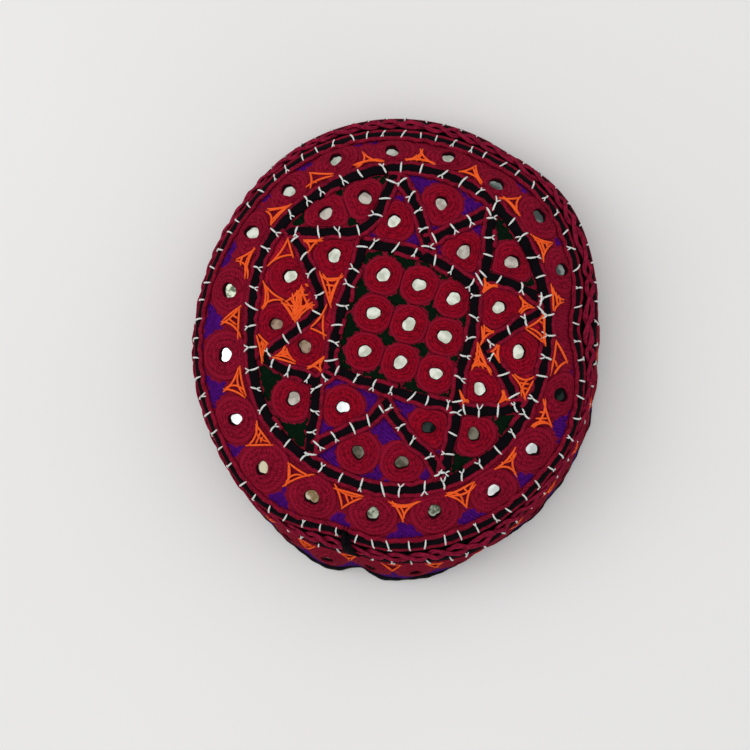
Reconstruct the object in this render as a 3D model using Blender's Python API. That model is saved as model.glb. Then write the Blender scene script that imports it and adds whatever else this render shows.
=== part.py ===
"""Sindhi cap with mirror work: a domed crown on a flared band, resting on its hem.

The named sizes are in millimetres and make_object turns them into metres. +Z is up, and the
origin is on the table under the middle of the cap. The band's seam faces -Y.

A place on the cloth is a turn, in radians around the cap, and a run, in millimetres from the
crown's middle, over the crown's edge, over the shoulder and down the wall to the hem. Pieces
are modelled flat, with their height above the cloth as Z, and are then laid on the cloth.
"""

import math
from collections import namedtuple

import bmesh
import bpy
from mathutils import Vector

MM = 0.001
OBJECT_NAME = "sindhi_cap"

# Middle of the cap's box in the plan, which becomes the origin
BOX_MIDDLE_X = 0.784
BOX_MIDDLE_Y = -0.466

Outline = namedtuple("Outline", "half_width half_length centre_x centre_y folds")
Fold = namedtuple("Fold", "turn_deg reach spread_deg")
Finish = namedtuple("Finish", "name colour roughness metallic")
Roundel = namedtuple("Roundel", "name x y out_reach side_reach squash turn")

# The four plan outlines, with the dents and bulges that the worn cloth has in each
CROWN_EDGE = Outline(76.4, 82.2, 0.2, 2.0, (
    Fold(2, -4.0, 9), Fold(40, 4.0, 20), Fold(-108, -2.5, 10), Fold(-45, 2.6, 22), Fold(145, -1.2, 20),
    Fold(-134, 3.8, 20), Fold(-170, 1.6, 18), Fold(-27, 2.4, 12), Fold(-80, 1.0, 20)))
SHOULDER = Outline(81.4, 89.6, 1.0, 2.6, (
    Fold(35, 4.4, 22), Fold(-68, 2.6, 12), Fold(-102, -1.6, 8), Fold(142, -1.4, 14),
    Fold(168, -2.8, 20), Fold(-155, -1.2, 18), Fold(-5, -1.6, 18), Fold(54, -1.4, 10)))
HEM = Outline(84.6, 95.8, 0.6, -0.7, (
    Fold(40, 3.2, 20), Fold(-40, -1.6, 12), Fold(-64, -4.6, 13), Fold(-101, -3.4, 5), Fold(-140, -2.4, 16),
    Fold(90, -1.0, 45), Fold(168, -1.6, 30), Fold(0, -2.4, 26), Fold(-112, 1.0, 6)))
CROWN_RING = Outline(57.8, 64.0, 4.2, 4.7, (Fold(150, 3.0, 22), Fold(-150, 3.6, 24)))

# Heights: the crown's edge is higher at the near left than at the far right
CROWN_TOP = 50.0
EDGE_HEIGHT = 38.3
EDGE_TILT = 6.5
EDGE_TILT_TURN_DEG = 215.0
SHOULDER_SHARE = 0.68
DOME_POWER = 4
WALL_BULGE = 0.8

# Runs along the cloth, from the crown's middle to the hem
EDGE_RUN = 80.0
SHOULDER_RUN = 92.0
HEM_RUN = 120.0
NORMAL_WINDOW = 1.5
NORMAL_TURN = 0.01

CLOTH_THICKNESS = 1.5
GAP = 0.3
EDGE_ALLOWANCE = 0.18
ROSETTE_CLEARANCE = 0.6
SHARP_ANGLE_DEG = 40.0
SEAM_TURN = math.radians(-103.5)
SEAM_GAP = 0.4
BINDING_RUN = 5.0
BINDING_TOP_REACH = 0.42
BINDING_REACH = 0.7
BINDING_FOOT_REACH = 0.28
BINDING_THICKNESS = 2.9

TAPE_HALF_WIDTH = 2.0
TAPE_THICKNESS = 0.8
TAPE_STEP = 12.0
BRAID_SCALLOPS = 48
BRAID_MARGIN = 0.6
BRAID_WAVE = 1.3
BRAID_LIFT = 0.5
BRAID_THICKNESS = 1.5
SEAM_TAPE_HALF_WIDTH = 1.8
SEAM_TAPE_CLEARANCE = 0.6

ROSETTE_SIDES = 8
MIRROR_SIDES = 10
ROSETTE_HEIGHT = 1.7
ROSETTE_FOOT = -0.7
WELL_RADIUS = 3.5
WELL_FLOOR = 0.2
WELL_TAPER = 0.97
WELL_RIM = 0.6
MIRROR_RADIUS = 2.9
MIRROR_THICKNESS = 0.7
BAND_ROSETTES = 29
BAND_ROSETTE_RADIUS = 8.4
BAND_MIRROR_HEIGHT = 0.9

CROWN_TURNS = 44
CROWN_SHARES = (0.28, 0.52, 0.70, 0.83, 0.92)
BAND_TURNS = 52
RING_TURNS = 52
BAND_FLAT_RADIUS = 90.0

# Mirror work on the crown: the middle square and the fields of the star. Each row is a field's name,
# the rosettes' full radius and their centres in the plan. Most centres were read off the photo as
# pixels, and another program turned them into these millimetres, rounded to the half.
CROWN_FIELDS = (
    ("centre", 7.1, ((-2, 25), (12, 21), (25.5, 15.5), (-6, 10), (8, 5.5), (22, 0.5),
                     (-9.5, -5), (4.5, -9.5), (18.5, -14))),
    ("star_green", 8.2, ((-25, 50), (-9.5, 56), (48, 30), (-37.5, -23.5), (33, -37.5))),
    ("star_purple", 8.2, ((2, 46.5), (20.5, 53.5), (29.5, 34), (-18, -27), (-12, -44.5), (5, -48.5),
                          (15.5, -35))),
    ("star_orange", 8.2, ((-21.5, 33), (-39, 25), (-44.5, 6), (-33, -3), (43, 12), (50.5, -5.5),
                          (35.5, -20))),
)
BORDER_RADIUS = 9.2

# The border's rosettes: each one's turn, and its share of the way from the ring to the crown's edge.
# Their middles were read off the photo as pixels, and another program solved for these numbers.
BORDER_PLACES = ((91.5, 0.44), (72, 0.5), (53.4, 0.4), (36.8, 0.59), (19.2, 0.57), (-19.9, 0.5), (-38.7, 0.48),
                 (-56.3, 0.54), (-77, 0.44), (-97.6, 0.47), (-118.6, 0.5), (-136.3, 0.57), (-153.1, 0.53),
                 (-172.7, 0.45), (167.2, 0.47), (147.4, 0.48), (129.4, 0.48), (110.5, 0.54))

# Black tapes of the star, as plan points between the ring and the middle square. Most were read off
# the photo as pixels, and another program turned them into these millimetres, rounded to the half.
STAR_TAPES = (
    ("square_top", ((-10, 38), (4.5, 35.5), (17.5, 31), (28, 24.5), (34.5, 19))),
    ("square_right", ((34.5, 21), (33.5, 10), (32, -1), (28.5, -12), (26.5, -28))),
    ("square_bottom", ((27, -27), (17, -25), (4.5, -21.5), (-7, -18), (-14.5, -15), (-24, -11))),
    ("square_left", ((-23, -13), (-22, -3), (-19, 10.5), (-14.5, 24.5), (-9.5, 39))),
    ("green_top_left", ((-40, 43), (-27, 42.5), (-14.5, 42.5), (-8, 45), (-5, 49), (-1, 57), (2, 67))),
    ("orange_left", ((-40, 44), (-34.5, 35), (-29, 22.5), (-26.5, 13.5), (-31, 8), (-36.5, 3.5), (-42, -1),
                     (-51, -8))),
    ("orange_left_foot", ((-49, -7.5), (-42, -11.5), (-35, -14), (-28, -16.5), (-22, -12.5))),
    ("green_bottom_left", ((-28.5, -15), (-28.5, -24), (-29.5, -32), (-30.5, -38), (-31, -49))),
    ("purple_peak_left", ((-31, -43.5), (-18.5, -37), (-11.5, -34), (-5.5, -30.5), (-0.5, -25))),
    ("purple_peak_right", ((-2, -24.5), (2, -30.5), (6.5, -37), (11.5, -42.5), (17, -48), (20.5, -56))),
    ("green_bottom_right", ((26.5, -26), (25.5, -34.5), (24, -41), (22.5, -47), (20.5, -56))),
    ("green_right_foot", ((25.5, -27.5), (36.5, -28.5), (44, -28), (53, -26))),
    ("orange_right_top", ((62.5, 13), (54.5, 8), (48.5, 4.5), (43, 0), (37, -3.5))),
    ("orange_right_foot", ((37, -3), (40.5, -8), (44, -13), (47, -19), (50, -26.5))),
    ("green_right", ((33.5, 20), (36.5, 24), (43, 23), (50, 20.5), (56, 17.5), (62, 13.5))),
    ("purple_right", ((41, 52), (39.5, 43), (39, 34), (37.5, 27), (35.5, 22))),
    ("purple_top_left", ((2.5, 66), (8, 58), (11.5, 50.5), (13.5, 44), (16.5, 32))),
    ("purple_top_right", ((14.5, 38), (20, 40.5), (27, 44), (33.5, 47.5), (42, 51.5))),
)

CLOTH = Finish("crimson_cotton", (0.24, 0.01, 0.03), 0.9, 0.0)
TAPE = Finish("black_tape", (0.01, 0.008, 0.01), 0.85, 0.0)
BRAID = Finish("crimson_braid", (0.29, 0.02, 0.06), 0.85, 0.0)
MIRROR = Finish("mirror_glass", (0.75, 0.8, 0.78), 0.05, 1.0)


def clear_scene():
    """Remove the objects that the file opened with."""
    for item in list(bpy.data.objects):
        bpy.data.objects.remove(item, do_unlink=True)


def fold_scale(outline, turn):
    """Radial scale of an outline at a turn: 1 plus each fold's bell-shaped reach."""
    reach = 0.0
    for fold in outline.folds:
        away = (math.degrees(turn) - fold.turn_deg + 180.0) % 360.0 - 180.0
        reach += fold.reach * math.exp(-((away / fold.spread_deg) ** 2))
    return 1.0 + 2.0 * reach / (outline.half_width + outline.half_length)


def outline_point(outline, turn, share=1.0):
    """Plan point of an outline at a turn, at a share of the way out from its middle."""
    scale = share * fold_scale(outline, turn)
    return (outline.centre_x + outline.half_width * math.cos(turn) * scale,
            outline.centre_y + outline.half_length * math.sin(turn) * scale)


def edge_height(turn):
    """Height of the crown's edge at a turn."""
    return EDGE_HEIGHT + EDGE_TILT * math.cos(turn - math.radians(EDGE_TILT_TURN_DEG))


def cloth_point(turn, run):
    """Point of the cloth's outer face: a dome, a sloping shoulder and a slightly bulged wall."""
    if run <= EDGE_RUN:
        share = run / EDGE_RUN
        x, y = outline_point(CROWN_EDGE, turn, share)
        return Vector((x, y, CROWN_TOP - (CROWN_TOP - edge_height(turn)) * share ** DOME_POWER))
    shoulder = Vector((*outline_point(SHOULDER, turn), edge_height(turn) * SHOULDER_SHARE))
    if run <= SHOULDER_RUN:
        edge = Vector((*outline_point(CROWN_EDGE, turn), edge_height(turn)))
        return edge.lerp(shoulder, (run - EDGE_RUN) / (SHOULDER_RUN - EDGE_RUN))
    share = (run - SHOULDER_RUN) / (HEM_RUN - SHOULDER_RUN)
    hem = Vector((*outline_point(HEM, turn), 0.0))
    outward = Vector((math.cos(turn), math.sin(turn), 0.0))
    return shoulder.lerp(hem, share) + outward * WALL_BULGE * math.sin(math.pi * min(share, 1.0))


def laid_point(turn, run, height):
    """Point at a height above the cloth, along the outward normal of its outer face."""
    along = cloth_point(turn, run + NORMAL_WINDOW) - cloth_point(turn, run - NORMAL_WINDOW)
    wide_run = max(run, NORMAL_WINDOW)
    around = cloth_point(turn + NORMAL_TURN, wide_run) - cloth_point(turn - NORMAL_TURN, wide_run)
    return cloth_point(turn, run) + along.cross(around).normalized() * height


def crown_place(x, y):
    """Turn and run of a plan point on the crown."""
    u = (x - CROWN_EDGE.centre_x) / CROWN_EDGE.half_width
    v = (y - CROWN_EDGE.centre_y) / CROWN_EDGE.half_length
    turn = math.atan2(v, u)
    return turn, EDGE_RUN * math.hypot(u, v) / fold_scale(CROWN_EDGE, turn)


def lay_on_crown(flat):
    """Lay a point that was modelled flat in the plan onto the crown."""
    turn, run = crown_place(flat.x, flat.y)
    return laid_point(turn, run, flat.z)


def lay_on_band(flat):
    """Wrap a point that was modelled flat, X along the band and Y down it, around the cap."""
    return laid_point(SEAM_TURN + flat.x / BAND_FLAT_RADIUS, flat.y, flat.z)


def make_material(finish):
    """Principled material with a finish's colour, roughness and metallic value."""
    material = bpy.data.materials.new(finish.name)
    material.use_nodes = True
    shader = material.node_tree.nodes["Principled BSDF"]
    shader.inputs["Base Color"].default_value = (*finish.colour, 1.0)
    shader.inputs["Roughness"].default_value = finish.roughness
    shader.inputs["Metallic"].default_value = finish.metallic
    return material


def make_object(name, mesh_builder, finish, lay=None):
    """Turn a bmesh into a named object in metres, laid on the cloth where lay is given."""
    if lay:
        for vert in mesh_builder.verts:
            vert.co = lay(vert.co)
    if mesh_builder.calc_volume(signed=True) < 0.0:
        bmesh.ops.reverse_faces(mesh_builder, faces=mesh_builder.faces)
    bmesh.ops.translate(mesh_builder, verts=mesh_builder.verts, vec=(-BOX_MIDDLE_X, -BOX_MIDDLE_Y, 0.0))
    bmesh.ops.scale(mesh_builder, verts=mesh_builder.verts, vec=(MM, MM, MM))
    mesh = bpy.data.meshes.new(name)
    mesh_builder.to_mesh(mesh)
    mesh_builder.free()
    mesh.shade_smooth()
    mesh.set_sharp_from_angle(angle=math.radians(SHARP_ANGLE_DEG))
    mesh.materials.append(make_material(finish))
    item = bpy.data.objects.new(name, mesh)
    bpy.data.collections[OBJECT_NAME].objects.link(item)
    return item


def joined(solids):
    """Union of flat closed solids, which share no bmesh, as one new bmesh."""
    helpers = []
    for number, solid in enumerate(solids):
        bmesh.ops.recalc_face_normals(solid, faces=solid.faces)
        mesh = bpy.data.meshes.new(f"flat_{number}")
        solid.to_mesh(mesh)
        solid.free()
        helpers.append(bpy.data.objects.new(f"flat_{number}", mesh))
    operands = bpy.data.collections.new("operands")
    bpy.context.scene.collection.children.link(operands)
    base = helpers[0]
    bpy.context.scene.collection.objects.link(base)
    for helper in helpers[1:]:
        operands.objects.link(helper)
    union = base.modifiers.new("union", "BOOLEAN")
    union.operation = "UNION"
    union.operand_type = "COLLECTION"
    union.collection = operands
    evaluated = base.evaluated_get(bpy.context.evaluated_depsgraph_get())
    merged = bmesh.new()
    merged.from_mesh(evaluated.to_mesh())
    evaluated.to_mesh_clear()
    for helper in helpers:
        bpy.data.objects.remove(helper, do_unlink=True)
    bpy.data.collections.remove(operands)
    return merged


def thicken(flat, depth):
    """Extrude a flat open sheet downwards by a depth, into a closed solid."""
    extruded = bmesh.ops.extrude_face_region(flat, geom=list(flat.faces))
    lowered = [item for item in extruded["geom"] if isinstance(item, bmesh.types.BMVert)]
    bmesh.ops.translate(flat, verts=lowered, vec=(0.0, 0.0, -depth))
    bmesh.ops.recalc_face_normals(flat, faces=flat.faces)
    return flat


def ring_loft(section_at, steps):
    """Closed ring through the sections that section_at gives for each turn."""
    solid = bmesh.new()
    rings = []
    for step in range(steps):
        turn = 2.0 * math.pi * step / steps
        rings.append([solid.verts.new(point) for point in section_at(turn)])
    for step, ring in enumerate(rings):
        following = rings[(step + 1) % steps]
        for corner in range(len(ring)):
            after = (corner + 1) % len(ring)
            solid.faces.new((ring[corner], ring[after], following[after], following[corner]))
    return solid


def tape_section(middle_run):
    """Section of a tape folded over a corner of the cloth, as a function of the turn."""
    runs = (middle_run - TAPE_HALF_WIDTH, middle_run, middle_run + TAPE_HALF_WIDTH)

    def section(turn):
        low = [laid_point(turn, run, GAP) for run in runs]
        high = [laid_point(turn, run, GAP + TAPE_THICKNESS) for run in reversed(runs)]
        return low + high
    return section


def smooth_line(points, step):
    """Catmull-Rom curve through plan points, resampled at about the step asked for."""
    ends = [Vector(point).to_3d() for point in points]
    padded = [2.0 * ends[0] - ends[1], *ends, 2.0 * ends[-1] - ends[-2]]
    curve = [ends[0]]
    for before, start, end, after in zip(padded, padded[1:], padded[2:], padded[3:]):
        pieces = max(1, round((end - start).length / step))
        for piece in range(1, pieces + 1):
            t = piece / pieces
            bend = (2.0 * before - 5.0 * start + 4.0 * end - after) * t * t
            twist = (3.0 * start - before - 3.0 * end + after) * t ** 3
            curve.append(0.5 * (2.0 * start + (end - before) * t + bend + twist))
    return curve


def strip(line, half_width, low, high, closed=False):
    """Flat tape along a line of plan points, mitred at each of them, as a closed solid."""
    flat = bmesh.new()
    pairs = []
    last = len(line) - 1
    for index, point in enumerate(line):
        before = line[index - 1] if index or closed else point
        after = line[(index + 1) % len(line)] if index < last or closed else point
        along = (after - before).normalized()
        across = Vector((-along.y, along.x, 0.0)) * half_width
        pairs.append([flat.verts.new(place + Vector((0.0, 0.0, high)))
                      for place in (point - across, point + across)])
    following = pairs[1:] + (pairs[:1] if closed else [])
    for (left, right), (next_left, next_right) in zip(pairs, following):
        flat.faces.new((left, next_left, next_right, right))
    return thicken(flat, high - low)


def mirror_disc(roundel):
    """Round mirror above the floor of its well, flat and squashed as its roundel is."""
    solid = bmesh.new()
    bmesh.ops.create_cone(solid, cap_ends=True, segments=MIRROR_SIDES, radius1=MIRROR_RADIUS,
                          radius2=MIRROR_RADIUS, depth=MIRROR_THICKNESS)
    middle = WELL_FLOOR + GAP + 0.5 * MIRROR_THICKNESS
    bmesh.ops.translate(solid, verts=solid.verts, vec=(0.0, 0.0, middle))
    for vert in solid.verts:
        vert.co = roundel_point(roundel, vert.co.x, vert.co.y, vert.co.z)
    return solid


def roundel_point(roundel, outward, sideways, height):
    """Flat point at an outward and a sideways distance from a roundel's middle."""
    outward *= roundel.squash
    cosine, sine = math.cos(roundel.turn), math.sin(roundel.turn)
    return Vector((roundel.x + outward * cosine - sideways * sine,
                   roundel.y + outward * sine + sideways * cosine, height))


def rosette(roundel, floor):
    """Low cone of thread with a well for its mirror, flat."""
    solid = bmesh.new()
    rows = ((roundel.out_reach / roundel.squash, roundel.side_reach, ROSETTE_FOOT),
            (WELL_RADIUS, WELL_RADIUS, ROSETTE_HEIGHT),
            (WELL_RADIUS * WELL_TAPER, WELL_RADIUS * WELL_TAPER, floor))
    rings = []
    for outward, sideways, height in rows:
        angles = [2.0 * math.pi * side / ROSETTE_SIDES for side in range(ROSETTE_SIDES)]
        rings.append([solid.verts.new(roundel_point(roundel, outward * math.cos(angle),
                                                    sideways * math.sin(angle), height))
                      for angle in angles])
    for lower, upper in zip(rings, rings[1:]):
        for side in range(ROSETTE_SIDES):
            after = (side + 1) % ROSETTE_SIDES
            solid.faces.new((lower[side], lower[after], upper[after], upper[side]))
    solid.faces.new(reversed(rings[0]))
    solid.faces.new(rings[-1])
    return solid


def crown_lines():
    """Centre lines of the crown's ring tape and star tapes, in the plan."""
    ring = [Vector((*outline_point(CROWN_RING, 2.0 * math.pi * step / RING_TURNS), 0.0))
            for step in range(RING_TURNS)]
    return ring, [smooth_line(points, TAPE_STEP) for _, points in STAR_TAPES]


def line_distance(place, line):
    """Distance in the plan from a place to the nearest stretch of a line."""
    nearest = math.inf
    for start, end in zip(line, line[1:]):
        stretch = end - start
        share = min(1.0, max(0.0, (place - start).dot(stretch) / stretch.length_squared))
        nearest = min(nearest, (start + stretch * share - place).length)
    return nearest


def border_squash(turn, run):
    """How far the slope of the crown's border shortens a circle in the plan."""
    step = cloth_point(turn, run + WELL_RADIUS) - cloth_point(turn, run - WELL_RADIUS)
    return math.hypot(step.x, step.y) / step.length


def crown_roundels():
    """Rosettes of the crown, each as large as the tapes around it leave room for."""
    ring, stars = crown_lines()
    tapes = [ring + ring[:1], *stars]
    clearance = TAPE_HALF_WIDTH + ROSETTE_CLEARANCE
    roundels = []
    for field, radius, places in CROWN_FIELDS:
        for number, (x, y) in enumerate(places, 1):
            room = min(line_distance(Vector((x, y, 0.0)), line) for line in tapes) - clearance
            reach = max(min(radius, room), WELL_RADIUS + WELL_RIM)
            roundels.append(Roundel(f"{field}_mirror_{number}", x, y, reach, reach, 1.0, 0.0))
    for number, (degrees, share) in enumerate(BORDER_PLACES, 1):
        turn = math.radians(degrees)
        inner = Vector((*outline_point(CROWN_RING, turn), 0.0))
        outer = Vector((*outline_point(CROWN_EDGE, turn), 0.0))
        middle = inner.lerp(outer, share)
        heading = outer - inner
        squash = border_squash(*crown_place(middle.x, middle.y))
        reach = max(min(BORDER_RADIUS * squash, min(share, 1.0 - share) * heading.length - clearance),
                    (WELL_RADIUS + WELL_RIM) * squash)
        roundels.append(Roundel(f"border_mirror_{number}", middle.x, middle.y, reach, BORDER_RADIUS,
                                squash, math.atan2(heading.y, heading.x)))
    return roundels


def crown_sheet():
    """Flat sheet of the crown, out to its edge, thickened to the cloth's thickness."""
    flat = bmesh.new()
    centre = flat.verts.new((CROWN_EDGE.centre_x, CROWN_EDGE.centre_y, 0.0))
    rim = 1.0 - EDGE_ALLOWANCE / EDGE_RUN
    rings = []
    for share in (*CROWN_SHARES, rim):
        turns = [2.0 * math.pi * step / CROWN_TURNS for step in range(CROWN_TURNS)]
        rings.append([flat.verts.new((*outline_point(CROWN_EDGE, turn, share), 0.0)) for turn in turns])
    for step in range(CROWN_TURNS):
        after = (step + 1) % CROWN_TURNS
        flat.faces.new((centre, rings[0][step], rings[0][after]))
        for inner, outer in zip(rings, rings[1:]):
            flat.faces.new((inner[step], outer[step], outer[after], inner[after]))
    return thicken(flat, CLOTH_THICKNESS)


def build_crown():
    """Crown panel with its raised rosettes, and a mirror in the well of each."""
    solids = [crown_sheet()]
    for roundel in crown_roundels():
        solids.append(rosette(roundel, WELL_FLOOR))
        make_object(roundel.name, mirror_disc(roundel), MIRROR, lay_on_crown)
    make_object("crown_panel", joined(solids), CLOTH, lay_on_crown)


def build_band():
    """Side band from the crown's edge to the binding, with its row of mirror rosettes."""
    length = 2.0 * math.pi * BAND_FLAT_RADIUS
    rows = (EDGE_RUN + EDGE_ALLOWANCE, SHOULDER_RUN, 0.5 * (SHOULDER_RUN + HEM_RUN - BINDING_RUN),
            HEM_RUN - BINDING_RUN)
    flat = bmesh.new()
    grid = []
    for step in range(BAND_TURNS + 1):
        x = 0.5 * SEAM_GAP + (length - SEAM_GAP) * step / BAND_TURNS
        grid.append([flat.verts.new((x, row, 0.0)) for row in rows])
    for column, following in zip(grid, grid[1:]):
        for low in range(len(rows) - 1):
            flat.faces.new((column[low], following[low], following[low + 1], column[low + 1]))
    solids = [thicken(flat, CLOTH_THICKNESS)]
    middle = 0.5 * (SHOULDER_RUN + TAPE_HALF_WIDTH + HEM_RUN - BINDING_RUN)
    for number in range(BAND_ROSETTES):
        x = length * (number + 0.5) / BAND_ROSETTES
        roundel = Roundel("band", x, middle, BAND_ROSETTE_RADIUS, BAND_ROSETTE_RADIUS, 1.0, 0.0)
        solids.append(rosette(roundel, BAND_MIRROR_HEIGHT))
    make_object("side_band", joined(solids), CLOTH, lay_on_band)


def binding_section(turn):
    """Section of the hem's binding: it stands on the table, under the band's lower edge."""
    top_run = HEM_RUN - BINDING_RUN + GAP
    inside = BINDING_REACH - BINDING_THICKNESS
    outer_top = laid_point(turn, top_run, BINDING_TOP_REACH)
    outer = laid_point(turn, 0.5 * (top_run + HEM_RUN), BINDING_REACH)
    outer_foot = laid_point(turn, HEM_RUN, BINDING_FOOT_REACH)
    inner_foot = laid_point(turn, HEM_RUN, inside)
    inner_top = laid_point(turn, top_run, inside)
    outer_foot.z = 0.0
    inner_foot.z = 0.0
    return outer_top, outer, outer_foot, inner_foot, inner_top


def build_trims():
    """Black tapes on the crown and band, the wavy braid between them and the hem's binding."""
    ring, stars = crown_lines()
    high = GAP + TAPE_THICKNESS
    strips = [strip(ring, TAPE_HALF_WIDTH, GAP, high, closed=True)]
    strips += [strip(line, TAPE_HALF_WIDTH, GAP, high) for line in stars]
    make_object("star_tape", joined(strips), TAPE, lay_on_crown)
    make_object("crown_edge_tape", ring_loft(tape_section(EDGE_RUN), RING_TURNS), TAPE)
    make_object("band_tape", ring_loft(tape_section(SHOULDER_RUN), RING_TURNS), TAPE)
    make_object("hem_binding", ring_loft(binding_section, RING_TURNS), TAPE)
    build_braid()


def build_braid():
    """Wavy braid on the shoulder, open at the band's seam, where a short tape covers the join."""
    length = 2.0 * math.pi * BAND_FLAT_RADIUS
    top = EDGE_RUN + TAPE_HALF_WIDTH + BRAID_MARGIN
    foot = SHOULDER_RUN - TAPE_HALF_WIDTH - BRAID_MARGIN
    opening = SEAM_TAPE_HALF_WIDTH + SEAM_TAPE_CLEARANCE
    high = BRAID_LIFT + BRAID_THICKNESS
    flat = bmesh.new()
    columns = []
    steps = 2 * BRAID_SCALLOPS
    for step in range(steps + 1):
        x = opening + (length - 2.0 * opening) * step / steps
        inset = BRAID_WAVE * (step % 2)
        columns.append([flat.verts.new((x, y, high)) for y in (top + inset, foot - inset)])
    for (left, right), (next_left, next_right) in zip(columns, columns[1:]):
        flat.faces.new((left, next_left, next_right, right))
    make_object("shoulder_braid", thicken(flat, BRAID_THICKNESS), BRAID, lay_on_band)
    line = [Vector((0.0, top, 0.0)), Vector((0.0, foot, 0.0))]
    seam = strip(line, SEAM_TAPE_HALF_WIDTH, GAP, GAP + TAPE_THICKNESS)
    make_object("seam_tape", seam, TAPE, lay_on_band)


def main():
    """Build every piece of the cap in a collection of its own."""
    clear_scene()
    collection = bpy.data.collections.new(OBJECT_NAME)
    bpy.context.scene.collection.children.link(collection)
    build_crown()
    build_band()
    build_trims()


main()
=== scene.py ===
"""Sindhi cap with mirror work: the looks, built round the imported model.

Sizes are in millimetres in the cap's own plan, and Shape.finish turns them into metres. A place on
the cloth is a turn, in radians around the cap, and a run, in millimetres from the crown's middle
down to the hem. Pieces are worked out flat, with a height above the cloth, and laid on it.
"""

from __future__ import annotations

import logging
import math
from dataclasses import dataclass, field
from enum import Enum

import bpy
import numpy as np
from mathutils import Matrix, Vector

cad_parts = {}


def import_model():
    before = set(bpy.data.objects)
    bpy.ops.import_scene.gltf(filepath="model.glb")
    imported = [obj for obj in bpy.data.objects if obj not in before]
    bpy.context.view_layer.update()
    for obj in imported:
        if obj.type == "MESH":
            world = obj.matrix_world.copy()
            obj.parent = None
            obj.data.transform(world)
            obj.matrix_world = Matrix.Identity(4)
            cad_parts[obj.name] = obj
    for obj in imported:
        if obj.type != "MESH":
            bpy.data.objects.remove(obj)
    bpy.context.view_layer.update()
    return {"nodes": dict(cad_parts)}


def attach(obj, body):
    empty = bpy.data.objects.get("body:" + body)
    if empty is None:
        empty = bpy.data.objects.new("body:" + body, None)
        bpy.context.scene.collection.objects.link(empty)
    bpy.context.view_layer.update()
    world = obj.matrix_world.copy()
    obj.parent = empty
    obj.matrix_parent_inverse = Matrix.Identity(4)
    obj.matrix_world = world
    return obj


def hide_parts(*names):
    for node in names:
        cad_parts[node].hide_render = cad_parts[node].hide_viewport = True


LOG = logging.getLogger("sindhi_cap")
Place = tuple[float, float]
MM = 0.001
BOX_MIDDLE = np.array([0.784, -0.466, 0.0])


def linear(hex_colour: str) -> tuple[float, float, float, float]:
    """Turn an sRGB hex colour into linear RGBA.

    Args:
        hex_colour: Six hex digits, with or without a leading hash.

    Returns:
        The linear red, green and blue values and an alpha of one.
    """
    digits = hex_colour.lstrip("#")
    values = [int(digits[start:start + 2], 16) / 255.0 for start in (0, 2, 4)]
    return (*(v / 12.92 if v <= 0.04045 else ((v + 0.055) / 1.055) ** 2.4 for v in values), 1.0)


def wander(values: np.ndarray, seed: int, wavelength: float) -> np.ndarray:
    """Smooth seeded noise along a line, between about -1 and 1.

    The formula is the mean of five sines whose wavelengths spread around the one given.

    Args:
        values: Distances along the line.
        seed: Seed of the sines' phases and wavelengths.
        wavelength: Typical distance between bumps.

    Returns:
        The noise at each distance.
    """
    draw = np.random.default_rng(seed)
    total = np.zeros_like(values, dtype=float)
    for _ in range(5):
        length = wavelength * draw.uniform(0.6, 1.7)
        total += np.sin(2.0 * np.pi * values / length + draw.uniform(0.0, 2.0 * np.pi))
    return total * 0.4


def loop_wander(share: np.ndarray, seed: int, waves: int) -> np.ndarray:
    """Smooth seeded noise around a closed loop, between about -1 and 1.

    The formula is the mean of five sines, each with a whole number of waves around the loop.

    Args:
        share: Share of the way around.
        seed: Seed of the sines' phases and numbers of waves.
        waves: Typical number of waves.

    Returns:
        The noise at each share.
    """
    draw = np.random.default_rng(seed)
    total = np.zeros_like(share, dtype=float)
    for _ in range(5):
        count = max(1, round(waves * draw.uniform(0.6, 1.6)))
        total += np.sin(2.0 * np.pi * (count * share + draw.uniform()))
    return total * 0.4


def smooth_step(low: float, high: float, values: np.ndarray) -> np.ndarray:
    """Ease from 0 at low to 1 at high with the cubic 3t^2 - 2t^3."""
    share = np.clip((values - low) / (high - low), 0.0, 1.0)
    return share * share * (3.0 - 2.0 * share)


# The cap's form


@dataclass(frozen=True)
class Fold:
    """A dent or bulge of an outline: its turn, its reach in mm and its spread in degrees."""

    turn_deg: float
    reach: float
    spread_deg: float


@dataclass(frozen=True)
class Outline:
    """An oval in the plan, in mm, with folds that push it in or out."""

    half_width: float
    half_length: float
    centre_x: float
    centre_y: float
    folds: tuple[Fold, ...]

    def scale(self, turn: np.ndarray) -> np.ndarray:
        """Radial scale at a turn: 1 plus each fold's bell-shaped reach."""
        reach = np.zeros_like(turn, dtype=float)
        for fold in self.folds:
            away = (np.degrees(turn) - fold.turn_deg + 180.0) % 360.0 - 180.0
            reach = reach + fold.reach * np.exp(-((away / fold.spread_deg) ** 2))
        return 1.0 + 2.0 * reach / (self.half_width + self.half_length)

    def point(self, turn: np.ndarray, share: np.ndarray | float = 1.0) -> np.ndarray:
        """Plan points at a share of the way from the middle to the outline."""
        scale = share * self.scale(turn)
        return np.stack([self.centre_x + self.half_width * np.cos(turn) * scale,
                         self.centre_y + self.half_length * np.sin(turn) * scale], axis=-1)


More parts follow.
